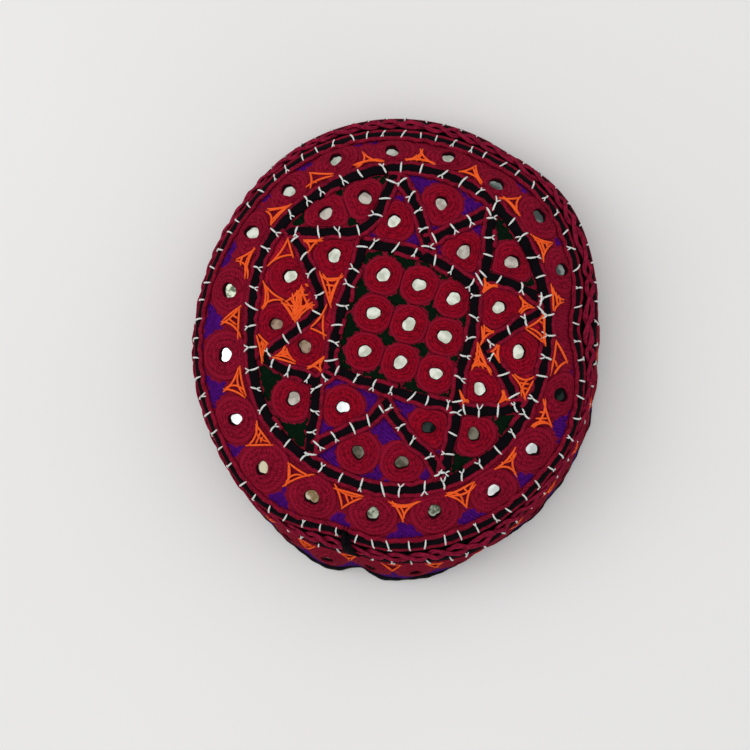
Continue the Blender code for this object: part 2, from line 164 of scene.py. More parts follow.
@dataclass(frozen=True)
class CapForm:
    """The outer face of the cap's cloth: a dome, a sloping shoulder and a slightly bulged wall."""

    edge: Outline = Outline(76.4, 82.2, 0.2, 2.0, (
        Fold(2, -4.0, 9), Fold(40, 4.0, 20), Fold(-108, -2.5, 10), Fold(-45, 2.6, 22), Fold(145, -1.2, 20),
        Fold(-134, 3.8, 20), Fold(-170, 1.6, 18), Fold(-27, 2.4, 12), Fold(-80, 1.0, 20)))
    shoulder: Outline = Outline(81.4, 89.6, 1.0, 2.6, (
        Fold(35, 4.4, 22), Fold(-68, 2.6, 12), Fold(-102, -1.6, 8), Fold(142, -1.4, 14),
        Fold(168, -2.8, 20), Fold(-155, -1.2, 18), Fold(-5, -1.6, 18), Fold(54, -1.4, 10)))
    hem: Outline = Outline(84.6, 95.8, 0.6, -0.7, (
        Fold(40, 3.2, 20), Fold(-40, -1.6, 12), Fold(-64, -4.6, 13), Fold(-101, -3.4, 5),
        Fold(-140, -2.4, 16), Fold(90, -1.0, 45), Fold(168, -1.6, 30), Fold(0, -2.4, 26),
        Fold(-112, 1.0, 6)))
    ring: Outline = Outline(57.8, 64.0, 4.2, 4.7, (Fold(150, 3.0, 22), Fold(-150, 3.6, 24)))
    crown_top: float = 50.0
    edge_mean_height: float = 38.3
    edge_tilt: float = 6.5
    edge_tilt_turn_deg: float = 215.0
    shoulder_share: float = 0.68
    wall_bulge: float = 0.8
    edge_run: float = 80.0
    shoulder_run: float = 92.0
    hem_run: float = 120.0
    binding_run: float = 5.0
    band_radius: float = 90.0
    seam_turn_deg: float = -103.5
    crease_softness: float = 1.5

    @property
    def band_length(self) -> float:
        """Length of the band's flat chart, once round."""
        return 2.0 * math.pi * self.band_radius

    def around(self, count: int, stops: int | None = None) -> np.ndarray:
        """Even places along the band, counted from the seam, as many as stops or else the count."""
        return self.band_length * np.arange(stops or count) / count

    def edge_height(self, turn: np.ndarray) -> np.ndarray:
        """Height of the crown's edge, higher at the near left than at the far right."""
        return self.edge_mean_height + self.edge_tilt * np.cos(turn - math.radians(self.edge_tilt_turn_deg))

    def profile(self, turn: np.ndarray, run: np.ndarray) -> np.ndarray:
        """Points of the outer face, with sharp creases at the edge and the shoulder.

        On the crown the height falls with the fourth power of the share of the run. Below it
        straight lines join the edge, the shoulder and the hem, and a sine bulges the wall.
        """
        turn, run = np.broadcast_arrays(np.asarray(turn, float), np.asarray(run, float))
        height = self.edge_height(turn)
        share = run / self.edge_run
        dome_height = self.crown_top - (self.crown_top - height) * share ** 4
        dome = np.concatenate([self.edge.point(turn, share), dome_height[..., None]], axis=-1)
        edge = np.concatenate([self.edge.point(turn), height[..., None]], axis=-1)
        shoulder_height = (height * self.shoulder_share)[..., None]
        shoulder = np.concatenate([self.shoulder.point(turn), shoulder_height], axis=-1)
        hem = np.concatenate([self.hem.point(turn), np.zeros_like(height)[..., None]], axis=-1)
        upper = ((run - self.edge_run) / (self.shoulder_run - self.edge_run))[..., None]
        lower = ((run - self.shoulder_run) / (self.hem_run - self.shoulder_run))[..., None]
        outward = np.stack([np.cos(turn), np.sin(turn), np.zeros_like(turn)], axis=-1)
        wall = shoulder + (hem - shoulder) * lower
        wall = wall + outward * self.wall_bulge * np.sin(np.pi * np.clip(lower, 0.0, 1.0))
        slope = edge + (shoulder - edge) * upper
        below = np.where((run <= self.shoulder_run)[..., None], slope, wall)
        return np.where((run <= self.edge_run)[..., None], dome, below)

    def face(self, turn: np.ndarray, run: np.ndarray) -> np.ndarray:
        """Points of the outer face with soft creases: a 1-2-1 mean over the crease softness."""
        soft = self.crease_softness
        around = self.profile(turn, run - soft) + self.profile(turn, run + soft)
        return 0.5 * self.profile(turn, run) + 0.25 * around

    def lay(self, turn: np.ndarray, run: np.ndarray, height: np.ndarray) -> np.ndarray:
        """Points at a height above the face, along its outward normal.

        The normal is the cross product of the face's slopes along the run and around the turn.
        """
        turn, run, height = np.broadcast_arrays(*(np.asarray(v, float) for v in (turn, run, height)))
        along = self.face(turn, run + 1.0) - self.face(turn, run - 1.0)
        wide = np.maximum(run, 1.5)
        around = self.face(turn + 0.01, wide) - self.face(turn - 0.01, wide)
        normal = np.cross(along, around)
        normal /= np.linalg.norm(normal, axis=-1, keepdims=True)
        return self.face(turn, run) + normal * height[..., None]

    def crown_place(self, plan: np.ndarray) -> tuple[np.ndarray, np.ndarray]:
        """Turn and run of plan points on the crown."""
        u = (plan[..., 0] - self.edge.centre_x) / self.edge.half_width
        v = (plan[..., 1] - self.edge.centre_y) / self.edge.half_length
        turn = np.arctan2(v, u)
        return turn, self.edge_run * np.hypot(u, v) / self.edge.scale(turn)

    def lay_crown(self, flat: np.ndarray) -> np.ndarray:
        """Lay flat points, plan x and y and a height, on the crown."""
        turn, run = self.crown_place(flat[..., :2])
        return self.lay(turn, run, flat[..., 2])

    def lay_band(self, flat: np.ndarray) -> np.ndarray:
        """Lay flat points, x along the band, y the run and a height, on the band."""
        turn = math.radians(self.seam_turn_deg) + flat[..., 0] / self.band_radius
        return self.lay(turn, flat[..., 1], flat[..., 2])


class Chart(Enum):
    """The two flat charts that pieces are worked out on."""

    CROWN = "crown"
    BAND = "band"


# Meshes from whole arrays


@dataclass
class Shape:
    """Closed surfaces gathered into one mesh, as whole arrays.

    Attributes:
        form: The cap's form, which flat points are laid on.
    """

    form: CapForm
    points: list[np.ndarray] = field(default_factory=list)
    quads: list[np.ndarray] = field(default_factory=list)
    triangles: list[np.ndarray] = field(default_factory=list)
    quad_maps: list[np.ndarray] = field(default_factory=list)
    triangle_maps: list[np.ndarray] = field(default_factory=list)
    quad_slots: list[np.ndarray] = field(default_factory=list)
    triangle_slots: list[np.ndarray] = field(default_factory=list)
    marks: dict[str, list[np.ndarray]] = field(default_factory=dict)
    count: int = 0

    def lay(self, flat: np.ndarray, chart: Chart | None) -> np.ndarray:
        """Lay flat points on a chart, or keep points that are already in space."""
        if chart is None:
            return flat
        return self.form.lay_crown(flat) if chart is Chart.CROWN else self.form.lay_band(flat)

    def add_sweeps(self, flat: np.ndarray, chart: Chart | None, loop: bool = False,
                   along: np.ndarray | None = None, around: np.ndarray | None = None,
                   slots: np.ndarray | None = None, **marks: np.ndarray) -> None:
        """Add closed surfaces, each a ring of section points carried along its stations.

        A sweep that is no loop is closed at each end by a fan round the section's middle.

        Args:
            flat: Points of shape (sweeps, stations, section, 3).
            chart: The chart that they are laid on.
            loop: Whether the last station joins the first.
            along: Map position of each station, one more than the stations for a loop.
            around: Map position of each section point, one more than the section's points.
            slots: Material slot of each strip between two stations.
            **marks: Values of named attributes, of shape (sweeps, stations, section) or with a
                last axis of four for a colour.
        """
        sweeps, stations, section, _ = flat.shape
        grid = self.lay(flat, chart)
        index = np.arange(sweeps * stations * section).reshape(sweeps, stations, section) + self.count
        rows = np.concatenate([index, index[:, :1]], axis=1) if loop else index
        cells = np.concatenate([rows, rows[:, :, :1]], axis=2)
        along = np.arange(rows.shape[1], dtype=float) if along is None else np.asarray(along, float)
        around = np.arange(section + 1, dtype=float) if around is None else np.asarray(around, float)
        along = np.broadcast_to(along, (sweeps, rows.shape[1]))
        maps = np.stack(np.broadcast_arrays(along[:, :, None], around[None, None, :]), axis=-1)
        quads, quad_maps = (np.stack([a[:, :-1, :-1], a[:, 1:, :-1], a[:, 1:, 1:], a[:, :-1, 1:]], axis=3)
                            for a in (cells, maps))
        strip_slots = np.zeros(quads.shape[1], int) if slots is None else np.asarray(slots, int)
        quad_slots = np.broadcast_to(strip_slots[None, :, None], quads.shape[:3])
        quads = quads.reshape(sweeps, -1, 4)
        quad_maps = quad_maps.reshape(sweeps, -1, 4, 2)
        points = grid.reshape(-1, 3)
        corners = grid.reshape(sweeps, -1, 3)[np.arange(sweeps)[:, None, None], quads - index[:, :1, :1]]
        corners = corners - corners.mean(axis=(1, 2), keepdims=True)
        halves = (np.cross(corners[:, :, a], corners[:, :, b]) for a, b in ((1, 2), (2, 3)))
        volume = sum(np.einsum("kqi,kqi->k", corners[:, :, 0], half) for half in halves)
        caps, cap_maps, cap_slots, centres = [], [], [], []
        if not loop:
            centre = np.arange(sweeps) + self.count + sweeps * stations * section
            for end, (first, second) in ((0, (0, 1)), (-1, (1, 0))):
                ring = [cells[:, end, :-1], cells[:, end, 1:]]
                fan = np.stack(np.broadcast_arrays(centre[:, None], ring[first], ring[second]), axis=-1)
                rim = maps[:, end, :-1]
                caps.append(fan)
                cap_maps.append(np.stack([rim, rim, rim], axis=2))
                cap_slots.append(np.full(fan.shape[:2], strip_slots[end]))
                centres.append(grid[:, end].mean(axis=1))
                centre = centre + sweeps
        flip = volume < 0.0
        quads[flip] = quads[flip][:, :, ::-1]
        quad_maps[flip] = quad_maps[flip][:, :, ::-1]
        for fan, fan_map, fan_slots in zip(caps, cap_maps, cap_slots):
            fan = fan.copy()
            fan[flip] = fan[flip][:, :, ::-1]
            self.triangles.append(fan.reshape(-1, 3))
            self.triangle_maps.append(fan_map.reshape(-1, 3, 2))
            self.triangle_slots.append(fan_slots.ravel())
        self.quads.append(quads.reshape(-1, 4))
        self.quad_maps.append(quad_maps.reshape(-1, 4, 2))
        self.quad_slots.append(quad_slots.ravel())
        self.points += [points, *centres]
        for name, values in marks.items():
            values = np.asarray(values, float)
            colour = values.ndim and values.shape[-1] == 4 and name.endswith("colour")
            shape = (sweeps, stations, section, 4) if colour else (sweeps, stations, section)
            values = np.broadcast_to(values, shape)
            flat_values = values.reshape(-1, 4) if colour else values.ravel()
            parts = [flat_values] + [values[:, end].mean(axis=1) for end in (0, -1)[:len(centres)]]
            self.marks.setdefault(name, []).append(np.concatenate(parts))
        self.count += len(points) + sweeps * len(centres)

    def finish(self, name: str, *materials: bpy.types.Material) -> bpy.types.Object:
        """Put the arrays into a mesh and link its object.

        Args:
            name: The piece's name.
            *materials: Its materials, in slot order.

        Returns:
            The new object, at the origin.
        """
        points = (np.concatenate(self.points) - BOX_MIDDLE) * MM
        quads = np.concatenate(self.quads)
        triangles = np.concatenate(self.triangles) if self.triangles else np.zeros((0, 3), int)
        corners = np.concatenate([quads.ravel(), triangles.ravel()])
        quad_starts = np.arange(len(quads)) * 4
        starts = np.concatenate([quad_starts, len(quads) * 4 + np.arange(len(triangles)) * 3])
        mesh = bpy.data.meshes.new(name)
        mesh.vertices.add(len(points))
        mesh.vertices.foreach_set("co", points.astype(np.float32).ravel())
        mesh.loops.add(len(corners))
        mesh.loops.foreach_set("vertex_index", corners.astype(np.int32))
        mesh.polygons.add(len(starts))
        mesh.polygons.foreach_set("loop_start", starts.astype(np.int32))
        slots = np.concatenate([*self.quad_slots, *self.triangle_slots])
        mesh.polygons.foreach_set("material_index", slots.astype(np.int32))
        mesh.update(calc_edges=True)
        stitch_map = mesh.uv_layers.new(name="stitch_map")
        maps = [part.reshape(-1, 2) for part in (*self.quad_maps, *self.triangle_maps)]
        stitch_map.data.foreach_set("uv", np.concatenate(maps).astype(np.float32).ravel())
        for mark, parts in self.marks.items():
            values = np.concatenate(parts).astype(np.float32)
            kind, key = ("FLOAT_COLOR", "color") if values.ndim == 2 else ("FLOAT", "value")
            mesh.attributes.new(mark, kind, "POINT").data.foreach_set(key, values.ravel())
        mesh.shade_smooth()
        for material in materials:
            mesh.materials.append(material)
        item = bpy.data.objects.new(name, mesh)
        bpy.context.scene.collection.objects.link(item)
        return item


# Lines in a chart


def resample(line: np.ndarray, step: float) -> np.ndarray:
    """Points at even distances along a line, about a step apart."""
    lengths = np.linalg.norm(np.diff(line, axis=0), axis=1)
    travelled = np.concatenate([[0.0], np.cumsum(lengths)])
    places = np.linspace(0.0, travelled[-1], max(2, round(travelled[-1] / step) + 1))
    return np.stack([np.interp(places, travelled, line[:, axis]) for axis in range(line.shape[1])], axis=1)


def smooth_line(points: tuple[Place, ...], step: float) -> np.ndarray:
    """Catmull-Rom curve through plan points, resampled at a step."""
    ends = np.array(points, float)
    padded = np.concatenate([[2.0 * ends[0] - ends[1]], ends, [2.0 * ends[-1] - ends[-2]]])
    before, start, end, after = (padded[i:len(padded) - 3 + i, None] for i in range(4))
    t = np.linspace(0.0, 1.0, 9)[None, :-1, None]
    bend = (2.0 * before - 5.0 * start + 4.0 * end - after) * t * t
    twist = (3.0 * start - before - 3.0 * end + after) * t ** 3
    curve = 0.5 * (2.0 * start + (end - before) * t + bend + twist)
    return resample(np.concatenate([curve.reshape(-1, 2), ends[-1:]]), step)


def headings(line: np.ndarray, loop: bool = False) -> np.ndarray:
    """Unit direction of a line at each of its points."""
    if loop:
        steps = np.roll(line, -1, axis=0) - np.roll(line, 1, axis=0)
    else:
        steps = np.gradient(line, axis=0)
    return steps / np.linalg.norm(steps, axis=1, keepdims=True)


def sideways(direction: np.ndarray) -> np.ndarray:
    """Directions turned a quarter to the left."""
    return np.stack([-direction[..., 1], direction[..., 0]], axis=-1)


def cross_flat(first: np.ndarray, second: np.ndarray) -> np.ndarray:
    """Upward part of the cross product of two flat vectors."""
    return first[..., 0] * second[..., 1] - first[..., 1] * second[..., 0]


def line_distance(places: np.ndarray, line: np.ndarray) -> np.ndarray:
    """Distance from places to the nearest stretch of a line.

    Each place is dropped onto every stretch, held to its ends, and the least distance is kept.

    Args:
        places: Points of shape (..., 2).
        line: Points of shape (n, 2).

    Returns:
        Distances of shape (...).
    """
    flat = places.reshape(-1, 2)
    nearest = np.full(len(flat), np.inf)
    for start, end in zip(line[:-1], line[1:]):
        stretch = end - start
        share = np.clip((flat - start) @ stretch / max(stretch @ stretch, 1e-9), 0.0, 1.0)
        away = flat - start - share[:, None] * stretch
        nearest = np.minimum(nearest, np.hypot(away[:, 0], away[:, 1]))
    return nearest.reshape(places.shape[:-1])


def ribbon(line: np.ndarray, section: np.ndarray, loop: bool = False,
           width: np.ndarray | float = 1.0, lift: np.ndarray | float = 0.0) -> np.ndarray:
    """Flat points of a section carried along a line.

    Each section point's first value goes sideways, times the width, and its second one up.

    Args:
        line: Points of shape (n, 2).
        section: Points of shape (m, 2).
        loop: Whether the line is closed.
        width: Scale of the section sideways, at each point of the line.
        lift: Height added at each point of the line.

    Returns:
        Points of shape (1, n, m, 3).
    """
    across = sideways(headings(line, loop))
    width = np.broadcast_to(width, len(line))
    lift = np.broadcast_to(lift, len(line))
    plan = line[:, None] + across[:, None] * (section[None, :, 0] * width[:, None])[..., None]
    height = section[None, :, 1] + lift[:, None]
    return np.concatenate([plan, height[..., None]], axis=-1)[None]


def round_section(radius: float, sides: int, flatness: float = 1.0) -> np.ndarray:
    """Points of a circle, or of an oval whose height is its width times the flatness."""
    angle = 2.0 * np.pi * np.arange(sides) / sides
    return radius * np.stack([np.cos(angle), flatness * np.sin(angle)], axis=1)


def strands(paths: np.ndarray, radius: float, sides: int, taper: float = 0.55) -> np.ndarray:
    """Flat points of many short threads, thinner at both ends.

    A circle is carried along each path. Its radius falls from the middle to the ends with the
    fourth power of the distance from the middle.

    Args:
        paths: Points of shape (k, n, 3): flat x, flat y and height.
        radius: Radius of the thread at its middle.
        sides: Sides of its section.
        taper: Radius of its ends over that of its middle.

    Returns:
        Points of shape (k, n, sides, 3).
    """
    steps = np.gradient(paths, axis=1)
    level = steps[..., :2] / np.maximum(np.linalg.norm(steps[..., :2], axis=-1, keepdims=True), 1e-9)
    across = np.concatenate([sideways(level), np.zeros_like(level[..., :1])], axis=-1)
    middle = np.linspace(-1.0, 1.0, paths.shape[1])
    size = radius * (1.0 - (1.0 - taper) * middle ** 4)[None, :, None, None]
    angle = 2.0 * np.pi * np.arange(sides) / sides
    side = across[:, :, None] * np.cos(angle)[None, None, :, None]
    up = np.array([0.0, 0.0, 1.0]) * np.sin(angle)[None, None, :, None]
    return paths[:, :, None] + (side + up) * size


def arcs(starts: np.ndarray, ends: np.ndarray, bow: np.ndarray, low: float, high: float,
         stations: int) -> np.ndarray:
    """Paths of short threads from starts to ends, bowed sideways and arched upwards.

    Both the sideways bow and the arch follow the parabola 4t(1 - t).

    Args:
        starts: Flat points of shape (k, 2).
        ends: Flat points of shape (k, 2).
        bow: Sideways reach of each thread's middle.
        low: Height of the ends.
        high: Height of the middle.
        stations: Points along each path.

    Returns:
        Points of shape (k, stations, 3).
    """
    t = np.linspace(0.0, 1.0, stations)[None, :, None]
    hump = 4.0 * t * (1.0 - t)
    span = ends - starts
    across = sideways(span / np.maximum(np.linalg.norm(span, axis=1, keepdims=True), 1e-9))
    plan = starts[:, None] + span[:, None] * t + across[:, None] * bow[:, None, None] * hump
    height = low + (high - low) * np.broadcast_to(hump, (*plan.shape[:2], 1))
    return np.concatenate([plan, height], axis=-1)


# Finishes


Socket = bpy.types.NodeSocket

# A wave texture's pitch at a scale of 1: along an axis, and along the level diagonal.
AXIS_PITCH = 0.314
DIAGONAL_PITCH = 0.444


def add(tree: bpy.types.NodeTree, kind: str, links: dict | None = None, output: int | str = 0,
        **settings) -> Socket:
    """Add a node with its settings and links.

    Args:
        tree: The material's node tree.
        kind: The node's type name, without the word ShaderNode that starts it.
        links: Sockets or plain values, by input name or number.
        output: The output that is wanted, by name or number.
        **settings: Properties of the node itself.

    Returns:
        That output of the new node.
    """
    node = tree.nodes.new("ShaderNode" + kind)
    for name, value in settings.items():
        setattr(node, name, value)
    for name, value in (links or {}).items():
        if isinstance(value, Socket):
            tree.links.new(value, node.inputs[name])
        else:
            node.inputs[name].default_value = value
    return node.outputs[output]


@dataclass(frozen=True)
class Finish:
    """What every finish of the cap shares: its name, its plain values and the real depth of its bump.

    In every finish a name that ends in cells is a noise's scale, in cells per metre: 500 cells are
    2 mm each.
    """

    name: str
    roughness: float = 0.9
    specular: float = 0.05
    metallic: float = 0.0
    depth_mm: float = 0.0

    def pattern(self, tree: bpy.types.NodeTree) -> tuple[Socket, Socket | None]:
        """The colour over the surface, and the bump's height where there is one."""
        raise NotImplementedError

    def make(self) -> bpy.types.Material:
        """Make the material, with plain values on the shader and the pattern's colour and bump."""
        material = bpy.data.materials.new(self.name)
        material.use_nodes = True
        tree = material.node_tree
        shader = tree.nodes["Principled BSDF"]
        shader.inputs["Roughness"].default_value = self.roughness
        shader.inputs["Specular IOR Level"].default_value = self.specular
        shader.inputs["Metallic"].default_value = self.metallic
        colour, height = self.pattern(tree)
        tree.links.new(colour, shader.inputs["Base Color"])
        if height is not None:
            bump = add(tree, "Bump", {"Height": height, "Distance": self.depth_mm * MM, "Strength": 1.0})
            tree.links.new(bump, shader.inputs["Normal"])
        return material


@dataclass(frozen=True)
class Thread(Finish):
    """Stranded cotton thread: matt, with a twist that shows as fine slanting ridges.

    The twist's pitch is drawn at 1.2 mm or more, coarser than the real half millimetre, so that it
    shows.
    """

    depth_mm: float = 0.12
    colour: str = "8C1C3E"
    shade: str = "5A0C26"
    ridge: float = 1.2
    twist: float = 0.8
    mottle_cells: float = 480.0

    def pattern(self, tree: bpy.types.NodeTree) -> tuple[Socket, Socket]:
        """Colour mottled by noise and darkened between the ridges of the twist."""
        stitch_map = add(tree, "UVMap", output="UV", uv_map="stitch_map")
        across = add(tree, "SeparateXYZ", {0: stitch_map}, "X")
        slant = add(tree, "Math", {0: across, 1: across.node.outputs["Y"]}, operation="ADD")
        phase = add(tree, "Math", {0: slant, 1: 2.0 * math.pi / self.ridge}, operation="MULTIPLY")
        wave = add(tree, "Math", {0: phase}, operation="SINE")
        ridges = add(tree, "MapRange", {"Value": wave, "From Min": -1.0, "From Max": 1.0})
        place = add(tree, "TexCoord", output="Object")
        mottle = add(tree, "TexNoise", {"Vector": place, "Scale": self.mottle_cells, "Detail": 4.0}, "Fac")
        mixed = add(tree, "Math", {0: ridges, 1: self.twist, 2: mottle}, operation="MULTIPLY_ADD")
        brightest = 0.6 + 0.8 * self.twist
        light = add(tree, "MapRange", {"Value": mixed, "From Min": 0.35, "From Max": brightest})
        colours = {0: light, 6: linear(self.shade), 7: linear(self.colour)}
        return add(tree, "Mix", colours, 2, data_type="RGBA"), mixed


@dataclass(frozen=True)
class RosetteThread(Finish):
    """Herringbone stitches that hold a mirror: rings of crimson cotton, one round inside the other.

    The map's x counts stitches around the rosette and its y is the distance in from the rim. The
    attribute tone runs from 0, a scarlet thread, to 1, a crimson one.
    """

    depth_mm: float = 0.3
    colour: str = "9A0822"
    crimson: str = "8E102C"
    shade: str = "4E0312"
    rim_colour: str = "8A132C"
    # Painted shade: the well round each mirror is coloured near black where the opening's wall is in shadow.
    well_colour: str = "1C0308"
    ring_pitch: float = 1.45
    rim_width: float = 1.7
    drift: float = 8.0
    drift_cells: float = 210.0
    grain: float = 11.0
    grain_cells: float = 780.0
    ragged_mm: float = 2.4

    def pattern(self, tree: bpy.types.NodeTree) -> tuple[Socket, Socket]:
        """Rings and slanting stitches in two reds, a pinker rim and a well in painted shade."""
        stitch_map = add(tree, "UVMap", output="UV", uv_map="stitch_map")
        across = add(tree, "SeparateXYZ", {0: stitch_map}, "X")
        inward = across.node.outputs["Y"]
        place = add(tree, "TexCoord", output="Object")
        drift = add(tree, "TexNoise", {"Vector": place, "Scale": self.drift_cells, "Detail": 3.0}, "Fac")
        ring = add(tree, "Math", {0: inward, 1: 2.0 * math.pi / self.ring_pitch}, operation="MULTIPLY")
        pushed = add(tree, "Math", {0: drift, 1: self.drift, 2: ring}, operation="MULTIPLY_ADD")
        ring_wave = add(tree, "Math", {0: pushed}, operation="SINE")
        spoke = add(tree, "Math", {0: across, 1: 2.0 * math.pi, 2: pushed}, operation="MULTIPLY_ADD")
        spoke_wave = add(tree, "Math", {0: spoke}, operation="SINE")
        both = add(tree, "Math", {0: spoke_wave, 1: ring_wave}, operation="ADD")
        fine = add(tree, "TexNoise", {"Vector": place, "Scale": self.grain_cells, "Detail": 4.0}, "Fac")
        grain = add(tree, "Math", {0: fine, 1: self.grain, 2: both}, operation="MULTIPLY_ADD")
        light = add(tree, "MapRange", {"Value": grain, "From Min": 2.6, "From Max": 8.2})
        tone = add(tree, "Attribute", output="Fac", attribute_name="tone")
        reds = {0: tone, 6: linear(self.colour), 7: linear(self.crimson)}
        thread = add(tree, "Mix", reds, 2, data_type="RGBA")
        lit = add(tree, "Mix", {0: light, 6: linear(self.shade), 7: thread}, 2, data_type="RGBA")
        ragged = add(tree, "Math", {0: fine, 1: self.ragged_mm, 2: inward}, operation="MULTIPLY_ADD")
        middle = 0.5 * self.ragged_mm
        rim = add(tree, "MapRange", {"Value": ragged, "From Min": self.rim_width + middle,
                                     "From Max": 0.3 * self.rim_width + middle, "To Max": 0.75})
        rimmed = add(tree, "Mix", {0: rim, 6: lit, 7: linear(self.rim_colour)}, 2, data_type="RGBA")
        # Painted shade in the well round the mirror, read from the mesh attribute.
        well = add(tree, "Attribute", output="Fac", attribute_name="well")
        darkened = {0: well, 6: rimmed, 7: linear(self.well_colour)}
        return add(tree, "Mix", darkened, 2, data_type="RGBA"), light


@dataclass(frozen=True)
class FilledCloth(Finish):
    """Cotton cloth filled with chain and straight stitches, which change colour from field to field.

    The attribute fill_mm is how far a point lies inside its filled field, and fill_colour is the
    field's thread.
    """

    depth_mm: float = 0.35
    colour: str = "8B112C"
    shade: str = "55081B"
    thread_pitch_mm: float = 1.1
    ragged_mm: float = 4.4
    ragged_cells: float = 420.0
    warp: float = 9.0
    warp_cells: float = 70.0
    grain: float = 3.0
    grain_cells: float = 700.0

    def pattern(self, tree: bpy.types.NodeTree) -> tuple[Socket, Socket]:
        """Field thread inside a ragged edge, ground thread outside, both ridged like stitches."""
        place = add(tree, "TexCoord", output="Object")
        ragged = add(tree, "TexNoise", {"Vector": place, "Scale": self.ragged_cells, "Detail": 3.0}, "Fac")
        inside = add(tree, "Attribute", output="Fac", attribute_name="fill_mm")
        edge = add(tree, "Math", {0: ragged, 1: self.ragged_mm, 2: inside}, operation="MULTIPLY_ADD")
        filled = add(tree, "MapRange", {"Value": edge, "From Min": 2.25, "From Max": 2.45})
        warped = add(tree, "TexNoise", {"Vector": place, "Scale": self.warp_cells, "Detail": 1.0}, "Fac")
        waves = {"Vector": place, "Scale": DIAGONAL_PITCH / (self.thread_pitch_mm * MM),
                 "Distortion": self.warp, "Detail": 1.0, "Detail Scale": 0.4, "Phase Offset": warped}
        bands = add(tree, "TexWave", waves, "Fac", bands_direction="DIAGONAL")
        fine = add(tree, "TexNoise", {"Vector": place, "Scale": self.grain_cells, "Detail": 4.0}, "Fac")
        grain = add(tree, "Math", {0: fine, 1: self.grain, 2: bands}, operation="MULTIPLY_ADD")
        light = add(tree, "MapRange", {"Value": grain, "From Min": 0.9, "From Max": 2.9})
        colours = {0: light, 6: linear(self.shade), 7: linear(self.colour)}
        ground = add(tree, "Mix", colours, 2, data_type="RGBA")
        thread = add(tree, "Attribute", output="Color", attribute_name="fill_colour")
        dull = add(tree, "MapRange", {"Value": light, "To Min": 0.3, "To Max": 1.3})
        lit = add(tree, "VectorMath", {0: thread, "Scale": dull}, operation="SCALE")
        return add(tree, "Mix", {0: filled, 6: ground, 7: lit}, 2, data_type="RGBA"), light


@dataclass(frozen=True)
class WovenCotton(Finish):
    """Plain woven cotton, for tape, binding and the cap's inner face.

    The weave is drawn at 0.9 mm or more, coarser than the real third of a millimetre, so that it
    shows.
    """

    depth_mm: float = 0.15
    colour: str = "0D090E"
    shade: str = "040304"
    weave_mm: float = 0.9
    mottle_cells: float = 300.0

    def pattern(self, tree: bpy.types.NodeTree) -> tuple[Socket, Socket]:
        """Crossed ribs of the weave under a soft mottle."""
        place = add(tree, "TexCoord", output="Object")
        waves = {"Vector": place, "Scale": AXIS_PITCH / (self.weave_mm * MM), "Distortion": 0.8}
        ribs = [add(tree, "TexWave", waves, "Fac", bands_direction=direction) for direction in ("X", "Y")]
        weave = add(tree, "Math", {0: ribs[0], 1: ribs[1]}, operation="MULTIPLY")
        mottle = add(tree, "TexNoise", {"Vector": place, "Scale": self.mottle_cells, "Detail": 4.0}, "Fac")
        light = add(tree, "Math", {0: weave, 1: 0.5, 2: mottle}, operation="MULTIPLY_ADD")
        shown = add(tree, "MapRange", {"Value": light, "From Min": 0.3, "From Max": 1.0})
        colours = {0: shown, 6: linear(self.shade), 7: linear(self.colour)}
        return add(tree, "Mix", colours, 2, data_type="RGBA"), light


@dataclass(frozen=True)
class MirrorGlass(Finish):
    """Thin silvered glass, cut by hand: its colour is a painted reflection, clouded in patches."""

    roughness: float = 0.2
    specular: float = 0.5
    metallic: float = 1.0
    colour: str = "D2D5C8"
    cloud: str = "B0B3A3"
    patch_cells: float = 260.0

    def pattern(self, tree: bpy.types.NodeTree) -> tuple[Socket, None]:
        """A mirror tinted with its painted reflection, clouded in patches of noise."""
        place = add(tree, "TexCoord", output="Object")
        specks = add(tree, "TexNoise", {"Vector": place, "Scale": self.patch_cells, "Detail": 3.0}, "Fac")
        clouded = add(tree, "MapRange", {"Value": specks, "From Min": 0.42, "From Max": 0.58})
        colours = {0: clouded, 6: linear(self.colour), 7: linear(self.cloud)}
        return add(tree, "Mix", colours, 2, data_type="RGBA"), None


@dataclass(frozen=True)
class PaintedTable(Finish):
    """Pale matt table top under the cap."""

    roughness: float = 0.8
    specular: float = 0.1
    colour: str = "E5E3E1"
    shade: str = "E1DFDD"
    mottle_cells: float = 3.0

    def pattern(self, tree: bpy.types.NodeTree) -> tuple[Socket, None]:
        """One pale colour with a breath of mottle."""
        place = add(tree, "TexCoord", output="Object")
        mottle = add(tree, "TexNoise", {"Vector": place, "Scale": self.mottle_cells, "Detail": 2.0}, "Fac")
        shown = add(tree, "MapRange", {"Value": mottle, "From Min": 0.3, "From Max": 0.7})
        colours = {0: shown, 6: linear(self.shade), 7: linear(self.colour)}
        return add(tree, "Mix", colours, 2, data_type="RGBA"), None


